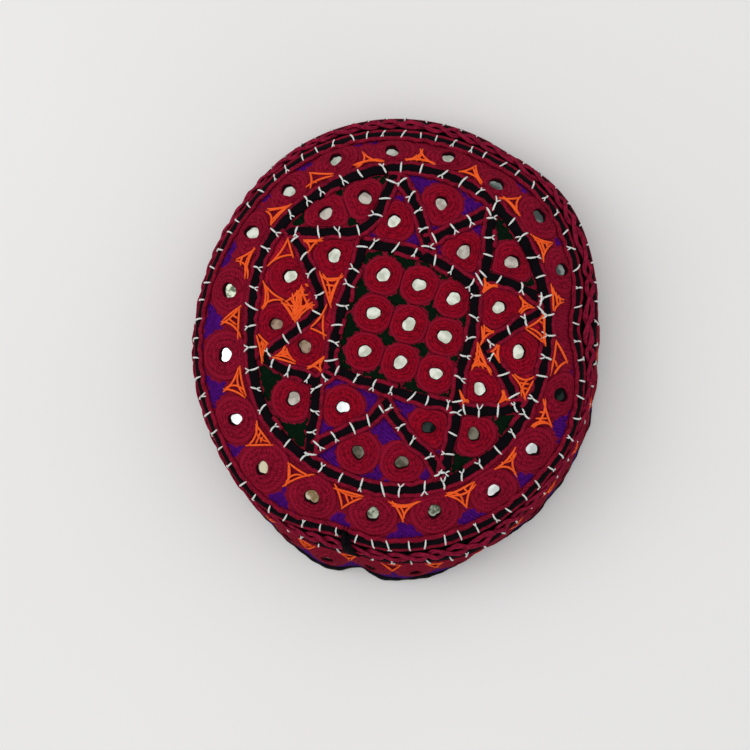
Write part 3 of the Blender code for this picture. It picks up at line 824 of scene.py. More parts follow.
class Wardrobe:
    """Every finish of the cap, made once and handed out by name."""

    def __init__(self) -> None:
        """Make the materials."""
        finishes = [
            RosetteThread("herringbone_crimson_cotton"),
            FilledCloth("chain_stitched_cotton"),
            WovenCotton("black_cotton_tape"),
            WovenCotton("black_cotton_ground", colour="0B080C"),
            WovenCotton("black_twill_binding", colour="0F0B10", weave_mm=1.3),
            WovenCotton("crimson_cotton_inside", colour="6A1026", shade="3C0916", weave_mm=1.0),
            Thread("white_cotton_thread", colour="ECEDE8", shade="BCBFB9", specular=0.1),
            Thread("orange_cotton_thread", colour="FC6A2C", shade="DB441A"),
            Thread("crimson_outline_thread", colour="84102A", shade="500717", ridge=1.6, twist=0.25),
            Thread("crimson_braid_thread", colour="911736", shade="54081D", ridge=2.4, twist=0.2),
            MirrorGlass("silvered_glass"),
            # Painted reflection: each glass below tints its mirrors lighter or darker for what that mirror
            # reflects.
            MirrorGlass("bright_painted_reflection_glass", colour="F2F4F2", cloud="D2D8D4"),
            MirrorGlass("mottled_painted_reflection_glass", colour="A9AF9C", cloud="4B5142", roughness=0.3, patch_cells=420.0),
            MirrorGlass("brown_painted_reflection_glass", colour="BFB59C", cloud="7A6547", roughness=0.3, patch_cells=240.0),
            MirrorGlass("grey_painted_reflection_glass", colour="9AA09B", cloud="4E5552", roughness=0.3, patch_cells=220.0),
            MirrorGlass("buff_painted_reflection_glass", colour="B4ADA3", cloud="968E84", roughness=0.3, patch_cells=320.0),
            MirrorGlass("dark_brown_painted_reflection_glass", colour="927C6A", cloud="604C3E", roughness=0.3, patch_cells=320.0),
            MirrorGlass("dim_painted_reflection_glass", colour="6E6A5C", cloud="484439", roughness=0.3, patch_cells=320.0),
            MirrorGlass("dark_painted_reflection_glass", colour="2A3330", cloud="0E1211", roughness=0.3, patch_cells=240.0),
        ]
        self.materials = {finish.name: finish.make() for finish in finishes}

    def __getitem__(self, name: str) -> bpy.types.Material:
        """The material of that name."""
        return self.materials[name]


# The embroidery's chart


@dataclass(frozen=True)
class Roundel:
    """A rosette's place in a chart, in mm: its middle and how far it may reach each way."""

    name: str
    x: float
    y: float
    outward_reach: float
    side_reach: float
    turn: float = 0.0
    squash: float = 1.0


class FillThread(Enum):
    """Threads that fill the fields."""

    GREEN = "04180A"
    PURPLE = "440865"
    CRIMSON = "A3122B"
    BLACK = "08060A"


@dataclass(frozen=True)
class Field:
    """A kind of field on the crown: its thread, its rosettes' full radius and their middles."""

    name: str
    thread: FillThread
    radius: float
    places: tuple[Place, ...]


@dataclass
class CrownChart:
    """The embroidery of the crown, in plan mm.

    Most places were read off the photo as pixels. Another program turned them into these
    millimetres, rounded to the half. For the border it solved for the turn, in degrees, and the
    share of the way from the ring to the edge.
    """

    form: CapForm
    fields: tuple[Field, ...] = (
        Field("centre", FillThread.GREEN, 8.0, (
            (-2, 25), (12, 21), (25.5, 15.5), (-6, 10), (8, 5.5), (22, 0.5), (-9.5, -5), (4.5, -9.5),
            (18.5, -14))),
        Field("star_green", FillThread.GREEN, 9.2, (
            (-25, 50), (-9.5, 56), (48, 30), (-37.5, -23.5), (33, -37.5))),
        Field("star_purple", FillThread.PURPLE, 9.0, (
            (2, 46.5), (20.5, 53.5), (29.5, 34), (-18, -27), (-12, -44.5), (5, -48.5), (15.5, -35))),
        Field("star_orange", FillThread.CRIMSON, 9.2, (
            (-21.5, 33), (-39, 25), (-44.5, 6), (-33, -3), (43, 12), (50.5, -5.5), (35.5, -20))),
    )
    border_places: tuple[Place, ...] = (
        (91.5, 0.44), (72, 0.5), (53.4, 0.4), (36.8, 0.59), (19.2, 0.57), (-19.9, 0.5), (-38.7, 0.48),
        (-56.3, 0.54), (-77, 0.44), (-97.6, 0.47), (-118.6, 0.5), (-136.3, 0.57), (-153.1, 0.53),
        (-172.7, 0.45), (167.2, 0.47), (147.4, 0.48), (129.4, 0.48), (110.5, 0.54))
    plain_place: Place = (1.0, 0.5)
    border_radius: float = 10.1
    tape_lines: tuple[tuple[Place, ...], ...] = (
        ((-10, 38), (4.5, 35.5), (17.5, 31), (28, 24.5), (34.5, 19)),
        ((34.5, 21), (33.5, 10), (32, -1), (28.5, -12), (26.5, -28)),
        ((27, -27), (17, -25), (4.5, -21.5), (-7, -18), (-14.5, -15), (-24, -11)),
        ((-23, -13), (-22, -3), (-19, 10.5), (-14.5, 24.5), (-9.5, 39)),
        ((-40, 43), (-27, 42.5), (-14.5, 42.5), (-8, 45), (-5, 49), (-1, 57), (2, 67)),
        ((-40, 44), (-34.5, 35), (-29, 22.5), (-26.5, 13.5), (-31, 8), (-36.5, 3.5), (-42, -1), (-51, -8)),
        ((-49, -7.5), (-42, -11.5), (-35, -14), (-28, -16.5), (-22, -12.5)),
        ((-28.5, -15), (-28.5, -24), (-29.5, -32), (-30.5, -38), (-31, -49)),
        ((-31, -43.5), (-18.5, -37), (-11.5, -34), (-5.5, -30.5), (-0.5, -25)),
        ((-2, -24.5), (2, -30.5), (6.5, -37), (11.5, -42.5), (17, -48), (20.5, -56)),
        ((26.5, -26), (25.5, -34.5), (24, -41), (22.5, -47), (20.5, -56)),
        ((25.5, -27.5), (36.5, -28.5), (44, -28), (53, -26)),
        ((62.5, 13), (54.5, 8), (48.5, 4.5), (43, 0), (37, -3.5)),
        ((37, -3), (40.5, -8), (44, -13), (47, -19), (50, -26.5)),
        ((33.5, 20), (36.5, 24), (43, 23), (50, 20.5), (56, 17.5), (62, 13.5)),
        ((41, 52), (39.5, 43), (39, 34), (37.5, 27), (35.5, 22)),
        ((2.5, 66), (8, 58), (11.5, 50.5), (13.5, 44), (16.5, 32)),
        ((14.5, 38), (20, 40.5), (27, 44), (33.5, 47.5), (42, 51.5)),
    )
    tape_step: float = 1.5
    slope_probe: float = 3.5
    border_margin: float = 2.7
    ring_half_width: float = 2.45
    edge_half_width: float = 2.25
    star_half_width: float = 2.4
    least_reach: float = 3.4
    most_reach: float = 11.5
    reach_samples: int = 28
    neighbour_mm: float = 26.0
    near_tape_mm: float = 16.0
    no_limit: float = 99.0

    def __post_init__(self) -> None:
        """Work out the ring, the edge, the star's lines and the roundels."""
        turn = np.linspace(0.0, 2.0 * np.pi, 241)
        self.ring = self.form.ring.point(turn)
        self.edge = self.form.edge.point(turn)
        self.stars = [smooth_line(points, self.tape_step) for points in self.tape_lines]
        self.roundels = [Roundel(f"{f.name}_{n}", x, y, f.radius, f.radius)
                         for f in self.fields for n, (x, y) in enumerate(f.places, 1)]
        self.roundels += [self.border_roundel(f"border_{number}", *place)
                          for number, place in enumerate(self.border_places, 1)]
        self.threads = [f.thread for f in self.fields for _ in f.places]
        self.plain = self.border_roundel("plain", *self.plain_place)

    def border_roundel(self, name: str, turn_deg: float, share: float) -> Roundel:
        """A roundel at a share of the way from the ring to the edge, squashed as the slope asks."""
        turn = np.array(math.radians(turn_deg))
        inner, outer = self.form.ring.point(turn), self.form.edge.point(turn)
        heading = outer - inner
        middle = inner + heading * share
        place_turn, run = self.form.crown_place(middle)
        step = (self.form.profile(place_turn, run + self.slope_probe)
                - self.form.profile(place_turn, run - self.slope_probe))
        squash = float(np.hypot(step[0], step[1]) / np.linalg.norm(step))
        reach = max(share, 1.0 - share) * float(np.hypot(*heading)) - self.border_margin
        return Roundel(name, float(middle[0]), float(middle[1]), reach, self.border_radius,
                       math.atan2(heading[1], heading[0]), squash)

    def rosette_edges(self, roundels: list[Roundel], sides: int) -> np.ndarray:
        """How far each rosette reaches in each direction.

        The reach is an oval's, cut by the line midway to each neighbour and by the tapes' edges,
        then smoothed around with a 1-2-3-2-1 mean.

        Args:
            roundels: The rosettes.
            sides: Directions around each.

        Returns:
            Reaches of shape (rosettes, sides).
        """
        angle = 2.0 * np.pi * np.arange(sides) / sides
        direction = round_section(1.0, sides)
        tapes = [(self.ring, self.ring_half_width), (self.edge, self.edge_half_width),
                 *((line, self.star_half_width) for line in self.stars)]
        middles = np.array([(r.x, r.y) for r in roundels])
        reaches = np.zeros((len(roundels), sides))
        samples = np.linspace(self.least_reach, self.most_reach, self.reach_samples)
        for number, roundel in enumerate(roundels):
            local = angle - roundel.turn
            reach = 1.0 / np.sqrt((np.cos(local) / roundel.outward_reach) ** 2
                                  + (np.sin(local) / roundel.side_reach) ** 2)
            away = middles - middles[number]
            distance = np.hypot(away[:, 0], away[:, 1])
            near = (distance > 0.1) & (distance < self.neighbour_mm)
            facing = direction @ (away[near] / distance[near, None]).T
            halfway = 0.5 * distance[near] / np.maximum(facing, 0.15)
            limit = np.where(facing > 0.15, halfway, self.no_limit)
            reach = np.minimum(reach, limit.min(axis=1, initial=self.no_limit) - 0.05)
            places = middles[number] + direction[:, None] * samples[None, :, None]
            clear = np.ones(places.shape[:2], bool)
            for line, half_width in tapes:
                if np.hypot(*(line - middles[number]).T).min() < self.near_tape_mm:
                    clear &= line_distance(places, line) > half_width
            free = np.where(np.logical_and.accumulate(clear, axis=1), samples, samples[0]).max(axis=1)
            reaches[number] = np.minimum(reach, free)
        weights = ((-2, 1), (-1, 2), (0, 3), (1, 2), (2, 1))
        return sum(weight * np.roll(reaches, shift, axis=1) for shift, weight in weights) / 9.0

    def seen_fields(self, places: np.ndarray) -> np.ndarray:
        """Index of the nearest rosette that each place can see without crossing a star tape.

        Args:
            places: Plan points of shape (n, 2).

        Returns:
            Indices into the star's and the centre's roundels.
        """
        inner = [r for r in self.roundels if not r.name.startswith("border")]
        middles = np.array([(r.x, r.y) for r in inner])
        order = np.argsort(np.hypot(*(places[:, None] - middles[None]).transpose(2, 0, 1)), axis=1)[:, :7]
        starts = np.concatenate([line[:-1] for line in self.stars])
        ends = np.concatenate([line[1:] for line in self.stars])
        found = np.full(len(places), -1)
        for rank in range(order.shape[1]):
            open_places = np.flatnonzero(found < 0)
            if not len(open_places):
                break
            here, there = places[open_places], middles[order[open_places, rank]]
            blocked = np.zeros(len(here), bool)
            for start, end in zip(starts, ends):
                sides = [cross_flat(end - start, point - start) for point in (here, there)]
                others = [cross_flat(there - here, point - here) for point in (start, end)]
                blocked |= (sides[0] * sides[1] < 0.0) & (others[0] * others[1] < 0.0)
            found[open_places[~blocked]] = order[open_places[~blocked], rank]
        return np.where(found < 0, order[:, 0], found)

    def is_green(self, seen: np.ndarray) -> np.ndarray:
        """Whether the fields with these indices are filled with green."""
        return np.array([thread is FillThread.GREEN for thread in self.threads])[seen]


# Sub-assemblies


@dataclass
class CrownCloth:
    """The crown's cloth, with the filled fields between its rosettes and tapes."""

    chart: CrownChart
    turns: int = 440
    rows: int = 96
    inner_rows: int = 18
    thickness: float = 1.5
    green_margin: float = 2.3
    other_margin: float = 2.9
    rosette_margin: float = 0.2
    border_rosette_margin: float = 0.8
    border_edge_margin: float = 2.7
    border_inner_margin: float = 12.2
    ring_mm: float = 60.0
    raised: float = 0.35

    def fills(self, plan: np.ndarray, run: np.ndarray) -> tuple[np.ndarray, np.ndarray]:
        """How far each place is inside its filled field, and the field's colour.

        Inside the ring a field is filled where it is clear of the tapes by a margin, which is less
        for green, and clear of the rosettes. In the border it is filled between two roundels, from
        a margin outside the ring, measured as its share times a mean radius, to the edge.

        Args:
            plan: Plan points of shape (n, 2).
            run: Their runs, of shape (n,).

        Returns:
            Distances in mm of shape (n,) and colours of shape (n, 4).
        """
        chart = self.chart
        tape = np.min([line_distance(plan, line) for line in (chart.ring, *chart.stars)], axis=0)
        everyone = [*chart.roundels, chart.plain]
        edges = chart.rosette_edges(everyone, 48)
        rosette = np.full(len(plan), np.inf)
        for roundel, reach in zip(everyone, edges):
            away = plan - (roundel.x, roundel.y)
            angle = np.arctan2(away[:, 1], away[:, 0]) % (2.0 * np.pi)
            limit = np.interp(angle, np.linspace(0.0, 2.0 * np.pi, 49), np.append(reach, reach[0]))
            rosette = np.minimum(rosette, np.hypot(away[:, 0], away[:, 1]) - limit)
        ring_share = self.ring_share(plan)
        outer_line = chart.form.edge_run - run - self.border_edge_margin
        between = (ring_share - 1.0) * self.ring_mm - self.border_inner_margin
        border_fill = np.minimum.reduce([rosette - self.border_rosette_margin, outer_line, between])
        seen = chart.seen_fields(plan)
        margin = np.where(chart.is_green(seen), self.green_margin, self.other_margin)
        star_fill = np.minimum(tape - margin, rosette - self.rosette_margin)
        inside = ring_share < 1.0
        fill = np.where(inside, star_fill, border_fill)
        palette = np.array([linear(thread.value) for thread in chart.threads])
        colours = np.where(inside[:, None], palette[seen], np.array(linear(FillThread.PURPLE.value)))
        return fill, colours

    def ring_share(self, plan: np.ndarray) -> np.ndarray:
        """Share of the way from the ring's middle to the ring, at plan points."""
        ring = self.chart.form.ring
        u = (plan[:, 0] - ring.centre_x) / ring.half_width
        v = (plan[:, 1] - ring.centre_y) / ring.half_length
        return np.hypot(u, v) / ring.scale(np.arctan2(v, u))

    def build(self, wardrobe: Wardrobe) -> bpy.types.Object:
        """A dome of fine cells over a coarser inner face, joined at the rim."""
        form = self.chart.form
        turn = 2.0 * np.pi * np.arange(self.turns) / self.turns
        outer = np.linspace(0.8, form.edge_run - 0.2, self.rows)
        inner = np.linspace(form.edge_run - 0.4, 0.8, self.inner_rows)
        runs = np.concatenate([outer, inner])
        grid_turn, grid_run = np.meshgrid(turn, runs)
        plan = form.edge.point(grid_turn, grid_run / form.edge_run)
        fill, colours = self.fills(plan[:self.rows].reshape(-1, 2), grid_run[:self.rows].ravel())
        fill = fill.reshape(self.rows, -1)
        pucker = 0.14 * (wander(plan[..., 0] + 0.4 * plan[..., 1], 5, 9.0)
                         + wander(plan[..., 1] - 0.3 * plan[..., 0], 6, 11.0))
        height = np.where(np.arange(len(runs))[:, None] < self.rows, pucker, -self.thickness)
        height[:self.rows] += self.raised * smooth_step(-0.3, 0.7, fill)
        points = form.lay(grid_turn, grid_run, height)
        fill_all = np.full(height.shape, -9.0)
        fill_all[:self.rows] = fill
        colour_all = np.zeros((*height.shape, 4))
        colour_all[:self.rows] = colours.reshape(self.rows, -1, 4)
        shape = Shape(form)
        slots = (np.arange(len(runs) - 1) >= self.rows - 1).astype(int)
        shape.add_sweeps(points[None], None, slots=slots, fill_mm=fill_all[None],
                         fill_colour=colour_all[None])
        return shape.finish("crown_cloth", wardrobe["chain_stitched_cotton"],
                            wardrobe["crimson_cotton_inside"])


@dataclass
class Rosettes:
    """Rosettes of herringbone stitch, each with an opening that a mirror shows through."""

    form: CapForm
    sides: int = 54
    opening: float = 2.6
    crimson_growth: float = 0.02
    lip: float = 0.6
    crest: float = 2.35
    rim_height: float = 0.75
    ring_pitch: float = 1.45
    ridge_height: float = 0.06
    stitches: float = 34.0
    slope_rows: int = 17
    shadow: float = 0.8
    scarlet_until: float = 0.6
    crimson_from: float = 0.8
    seed: int = 11

    def surfaces(self, middles: np.ndarray, reaches: np.ndarray, squashes: np.ndarray, turns: np.ndarray,
                 shadows: np.ndarray, openings: np.ndarray) -> tuple[np.ndarray, np.ndarray]:
        """Flat points and painted well shade values of the rosettes.

        A shelf in the well's painted shade colour lies over the glass, wider on the outward side by the
        cosine of the
        direction: a painted shadow of the opening's wall. From there the section rises to a lip, falls
        outward by a power of the share left to the rim, carries a cosine ridge for every ring of thread, and
        runs back underneath.

        Args:
            middles: Centres of shape (k, 2).
            reaches: Reach in each direction, of shape (k, sides).
            squashes: How far each one's outward direction is shortened.
            turns: Each one's outward direction.
            shadows: How far the painted shadow shelf reaches over the glass on the outward side.
            openings: Radius of each one's opening.

        Returns:
            Points of shape (k, sides, section, 3) and painted well shade values of shape (k, sides, section).
        """
        draw = np.random.default_rng(self.seed)
        count, sides = reaches.shape
        angle = 2.0 * np.pi * np.arange(sides) / sides
        phase, stretch = draw.uniform(0.0, 2.0 * np.pi, (2, count, 1))
        size = openings[:, None] * draw.uniform(0.94, 1.08, (count, 1))
        hole = size * (1.0 + 0.1 * np.cos(2.0 * (angle - phase)) + 0.05 * np.cos(3.0 * angle + stretch)
                       + 0.03 * np.cos(5.0 * angle - phase))
        local = angle[None] - turns[:, None]
        flatten = 1.0 / np.sqrt((np.cos(local) / squashes[:, None]) ** 2 + np.sin(local) ** 2)
        hole = hole * flatten
        crest_radius = hole + self.lip * flatten
        share = np.linspace(0.0, 1.0, self.slope_rows)[1:]
        spread = (reaches - crest_radius)[..., None]
        slope_radius = crest_radius[..., None] + spread * share
        fall = self.rim_height + (self.crest - self.rim_height) * (1.0 - share) ** 1.25
        ridges = self.ridge_height * np.cos(2.0 * np.pi * spread * (1.0 - share) / self.ring_pitch)
        slope_height = (fall + ridges) * np.sqrt(1.0 - share ** 7)
        # Painted shadow: a shade-coloured shelf reaches over the glass, more on the outward side.
        inner = hole - 0.12 - shadows[:, None] * np.maximum(np.cos(local), 0.0)
        radius = np.concatenate([np.stack([hole + 0.1, inner, inner, hole - 0.05, hole + 0.18, crest_radius],
                                          axis=-1), slope_radius, (reaches - 1.2)[..., None]], axis=-1)
        level = np.ones_like(hole)[..., None]
        wall = np.array([0.2, *(self.crest - drop for drop in (1.0, 0.85, 0.7, 0.2, 0.0))])
        height = np.concatenate([level * wall, slope_height, -0.3 * level], axis=-1)
        x = middles[:, 0, None, None] + radius * np.cos(angle)[None, :, None]
        y = middles[:, 1, None, None] + radius * np.sin(angle)[None, :, None]
        # Painted shade: the shelf over the glass and the well's wall get the full shade colour, the lip's
        # foot about a third of it.
        well = np.zeros_like(height)
        well[..., :4] = 1.0
        well[..., 4] = 0.35
        return np.stack([x, y, height], axis=-1), well

    def build(self, name: str, chart: Chart, middles: np.ndarray, reaches: np.ndarray,
              squashes: np.ndarray, turns: np.ndarray, shadows: np.ndarray, tones: np.ndarray,
              wardrobe: Wardrobe) -> bpy.types.Object:
        """Put the rosettes of one chart into one piece.

        Args:
            name: The piece's name.
            chart: The chart that the rosettes are laid on.
            middles: Centres of shape (k, 2).
            reaches: Reach in each direction, of shape (k, sides).
            squashes: How far each one's outward direction is shortened.
            turns: Each one's outward direction.
            shadows: How far the painted shadow shelf reaches over the glass on the outward side.
            tones: Each one's thread, from 0 for scarlet to 1 for crimson.
            wardrobe: The finishes.

        Returns:
            The piece.
        """
        openings = self.opening * (1.0 + self.crimson_growth * tones)
        flat, well = self.surfaces(middles, reaches, squashes, turns, shadows, openings)
        mean_reach = float(reaches.mean())
        slope = np.linspace(mean_reach - 3.1, 0.0, self.slope_rows)
        inward = np.concatenate([[mean_reach - 2.5] * 5, slope, [-1.0]])
        around = np.append(inward, inward[0])
        along = np.arange(self.sides + 1) * self.stitches / self.sides
        shape = Shape(self.form)
        shape.add_sweeps(flat, chart, loop=True, along=along, around=around, well=well,
                         tone=tones[:, None, None])
        return shape.finish(name, wardrobe["herringbone_crimson_cotton"])

    def build_crown(self, chart: CrownChart, wardrobe: Wardrobe) -> bpy.types.Object:
        """The crown's rosettes: scarlet near the ring's middle, crimson and more shadowed far out."""
        ring = self.form.ring
        middles = np.array([(r.x, r.y) for r in chart.roundels])
        edges = chart.rosette_edges([*chart.roundels, chart.plain], self.sides)[:-1]
        outward = middles - (ring.centre_x, ring.centre_y)
        away = np.hypot(outward[:, 0], outward[:, 1]) / self.form.edge.half_width
        squashes = np.array([r.squash for r in chart.roundels])
        turns = np.arctan2(outward[:, 1], outward[:, 0])
        tones = smooth_step(self.scarlet_until, self.crimson_from, away)
        # Painted shadow: the shade-coloured shelf over the glass grows towards the border.
        return self.build("crown_rosettes", Chart.CROWN, middles, edges, squashes, turns,
                          self.shadow * away ** 1.5, tones, wardrobe)


@dataclass
class Tapes:
    """Flat cotton tapes sewn over the joins, with white fly stitches across them."""

    half_width: float = 1.95
    thickness: float = 1.15
    step: float = 1.5
    tick_pitch: float = 8.2
    foot: float = 1.4
    top: float = 1.8
    stem_radius: float = 0.39
    prong_radius: float = 0.31

    def section(self) -> np.ndarray:
        """Section of a soft-edged tape, as sideways and upward values."""
        reach = np.array([-1.0, -1.0, -0.86, -0.45, 0.0, 0.45, 0.86, 1.0, 1.0, 0.0])
        share = np.array([0.0, 0.55, 0.88, 1.0, 1.0, 1.0, 0.88, 0.55, 0.0, -0.1])
        return np.stack([self.half_width * reach, self.thickness * share], axis=1)

    def add_line(self, shape: Shape, line: np.ndarray, chart: Chart, loop: bool, seed: int,
                 lift: float = 0.0) -> None:
        """Add one tape, whose width wanders a little along it."""
        share = np.arange(len(line)) / len(line)
        if loop:
            stray = loop_wander(share, seed, 30)
        else:
            stray = wander(share * len(line) * self.step, seed, 12.0)
        flat = ribbon(line, self.section(), loop, 1.0 + 0.12 * stray, lift)
        shape.add_sweeps(flat, chart, loop=loop, along=np.arange(len(line) + int(loop)) * self.step)

    def ticks(self, line: np.ndarray, seed: int, reach: float,
              forked: float) -> tuple[np.ndarray, np.ndarray]:
        """Paths of fly stitches across a line: a slanting stem, and two short prongs at one end.

        Args:
            line: Flat points of shape (n, 2), at even distances.
            seed: Seed of the stitches' small differences.
            reach: How far a stitch reaches to each side.
            forked: Share of the stitches that have prongs.

        Returns:
            Paths of the stems and of the prongs.
        """
        draw = np.random.default_rng(seed)
        foot, top = self.foot, self.top
        step = float(np.linalg.norm(line[1] - line[0]))
        count = max(1, round(len(line) * step / self.tick_pitch))
        place = (np.arange(count) + 0.5 + draw.uniform(-0.12, 0.12, count)) / count * (len(line) - 1)
        low = np.floor(place).astype(int)
        part = (place - low)[:, None]
        nearer = np.minimum(low + 1, len(line) - 1)
        middle = line[low] * (1.0 - part) + line[nearer] * part
        along = headings(line)[low]
        across = sideways(along)
        lean = draw.uniform(-0.3, 0.55, (count, 1))
        size = reach * draw.uniform(0.75, 1.15, (count, 1))
        fork = np.where(draw.random((count, 1)) < 0.65, 1.0, -1.0)
        stem_start = middle - fork * across * size - along * lean * size
        open_end = draw.random((count, 1)) < forked
        stem_share = np.where(open_end, draw.uniform(0.1, 0.55, (count, 1)), 1.0)
        stem_end = middle + fork * across * size * stem_share + along * lean * size * stem_share
        stems = arcs(stem_start, stem_end, draw.uniform(-0.35, 0.35, count), foot, top, 6)
        stems[..., 2] = foot + (top - foot) * np.linspace(0.0, 1.0, 6)[None] ** 0.5
        stems[~open_end[:, 0], :, 2] = foot + (top - foot) * np.sin(np.linspace(0.15, np.pi - 0.15, 6))
        prongs = []
        for side in (-1.0, 1.0):
            spread = side * draw.uniform(0.2, 0.62, (count, 1))
            tip = middle + fork * across * size + along * (lean * 0.8 + spread) * size
            path = arcs(stem_end, tip, np.full(count, -0.15 * side), foot, top, 5)
            path[..., 2] = top - (top - foot) * np.linspace(0.0, 1.0, 5)[None] ** 1.5
            prongs.append(path[open_end[:, 0]])
        return stems, np.concatenate(prongs)


@dataclass
class CrownTrim:
    """Tapes of the ring, the star, the crown's edge and the shoulder, with their stitches."""

    chart: CrownChart
    tapes: Tapes
    band_stations: int = 360
    sways: float = 9.0

    def build(self, wardrobe: Wardrobe) -> dict[str, bpy.types.Object]:
        """Make the three tapes and all the white stitches over them."""
        form = self.chart.form
        black = wardrobe["black_cotton_tape"]
        star = Shape(form)
        ring = resample(self.chart.ring, self.tapes.step)
        self.tapes.add_line(star, ring[:-1], Chart.CROWN, True, 21, lift=0.1)
        for number, line in enumerate(self.chart.stars):
            lift = 0.01 * (number % 7) - 0.05
            self.tapes.add_line(star, line, Chart.CROWN, False, 30 + number, lift)
        made = {"star_tapes": star.finish("star_tapes", black)}
        band_x = np.linspace(0.0, form.band_length, self.band_stations + 1)
        stitches = Shape(form)
        self.add_ticks(stitches, Chart.CROWN, [ring], 51, 2.5, 0.7)
        self.add_ticks(stitches, Chart.CROWN, self.chart.stars, 61, 2.35, 0.65)
        for name, run, seed, reach in (("edge_tape", form.edge_run, 81, 1.9),
                                       ("shoulder_tape", form.shoulder_run, 91, 1.5)):
            shape = Shape(form)
            swayed = run + 0.25 * np.sin(band_x[:-1] * self.sways / form.band_radius)
            self.tapes.add_line(shape, np.stack([band_x[:-1], swayed], axis=1), Chart.BAND, True, seed)
            made[name] = shape.finish(name, black)
            level = np.stack([band_x, np.full(len(band_x), run)], axis=1)
            self.add_ticks(stitches, Chart.BAND, [level], seed + 1, reach, 0.35)
        made["fly_stitches"] = stitches.finish("fly_stitches", wardrobe["white_cotton_thread"])
        return made

    def add_ticks(self, shape: Shape, chart: Chart, lines: list[np.ndarray], seed: int, reach: float,
                  forked: float) -> None:
        """Add the stitches of some lines to a shape."""
        for number, line in enumerate(lines):
            stems, prongs = self.tapes.ticks(line, seed + number, reach, forked)
            shape.add_sweeps(strands(stems, self.tapes.stem_radius, 5, 0.6), chart)
            if len(prongs):
                shape.add_sweeps(strands(prongs, self.tapes.prong_radius, 5, 0.6), chart)


@dataclass
class OutlineStitches:
    """Chain stitch in crimson that laps over the edges of the tapes, and comes and goes beside green."""

    chart: CrownChart
    offset: float = 2.22
    radius: float = 0.86
    link_mm: float = 2.4
    step: float = 0.8
    height: float = 0.98
    square_lines: int = 4
    square_gaps: float = -0.15
    star_gaps: float = 0.5
    ring_gaps: float = 0.45
    shortest: int = 8

    def build(self, wardrobe: Wardrobe) -> bpy.types.Object:
        """Flattened cords whose width swells at every link, as the sine of the distance."""
        form = self.chart.form
        shape = Shape(form)
        centre = np.array([form.ring.centre_x, form.ring.centre_y])
        for number, line in enumerate(self.chart.stars):
            fine = resample(line, self.step)
            travelled = np.arange(len(fine)) * self.step
            gaps = self.square_gaps if number < self.square_lines else self.star_gaps
            shown = wander(travelled, 400 + number, 16.0) > gaps
            for side in (-1.0, 1.0):
                away = self.offset + 0.34 * wander(travelled, 200 + 2 * number + int(side), 9.0)
                moved = fine + sideways(headings(fine)) * away[:, None] * side
                turn = np.arctan2((moved[:, 1] - centre[1]) / form.ring.half_length,
                                  (moved[:, 0] - centre[0]) / form.ring.half_width)
                limit = form.ring.point(turn, 0.985)
                inside = np.hypot(*(moved - centre).T) < np.hypot(*(limit - centre).T)
                self.add_stretches(shape, moved, inside & (shown | ~self.beside_green(moved)))
        ring = resample(self.chart.ring, self.step)[:-1]
        share = np.arange(len(ring)) / len(ring)
        aside = sideways(headings(ring, True))
        offsets = ((self.offset + 0.3 * loop_wander(share, seed, 45))[:, None] for seed in (300, 302))
        outward, inward = (ring + aside * offset * side for offset, side in zip(offsets, (-1.0, 1.0)))
        self.add_cord(shape, outward, Chart.CROWN, True)
        shown = loop_wander(share, 305, 20) > self.ring_gaps
        self.add_stretches(shape, inward, shown | ~self.beside_green(centre + 0.97 * (inward - centre)))
        share = np.arange(600) / 600.0
        for run, seed in ((form.edge_run - 2.0, 310), (form.edge_run + 1.9, 311),
                          (form.shoulder_run + 1.9, 312)):
            place = run + 0.3 * loop_wander(share, seed, 60)
            self.add_cord(shape, np.stack([form.band_length * share, place], axis=1), Chart.BAND, True)
        return shape.finish("outline_stitches", wardrobe["crimson_outline_thread"])

    def beside_green(self, places: np.ndarray) -> np.ndarray:
        """Whether the field that each place lies in is filled with green."""
        return self.chart.is_green(self.chart.seen_fields(places))

    def add_stretches(self, shape: Shape, line: np.ndarray, kept: np.ndarray) -> None:
        """Add a cord along each unbroken stretch of the points that are kept."""
        index = np.flatnonzero(kept)
        for stretch in np.split(index, np.flatnonzero(np.diff(index) > 1) + 1):
            if len(stretch) > self.shortest:
                self.add_cord(shape, line[stretch], Chart.CROWN, False)

    def add_cord(self, shape: Shape, line: np.ndarray, chart: Chart, loop: bool) -> None:
        """Add one flattened cord, which rests on the tape's edge and on the cloth."""
        travelled = np.arange(len(line)) * self.step
        width = 0.9 + 0.22 * np.abs(np.sin(np.pi * travelled / self.link_mm))
        flat = ribbon(line, round_section(self.radius, 6, 0.6), loop, width, self.height)
        shape.add_sweeps(flat, chart, loop=loop, along=np.arange(len(line) + int(loop)) * self.step)


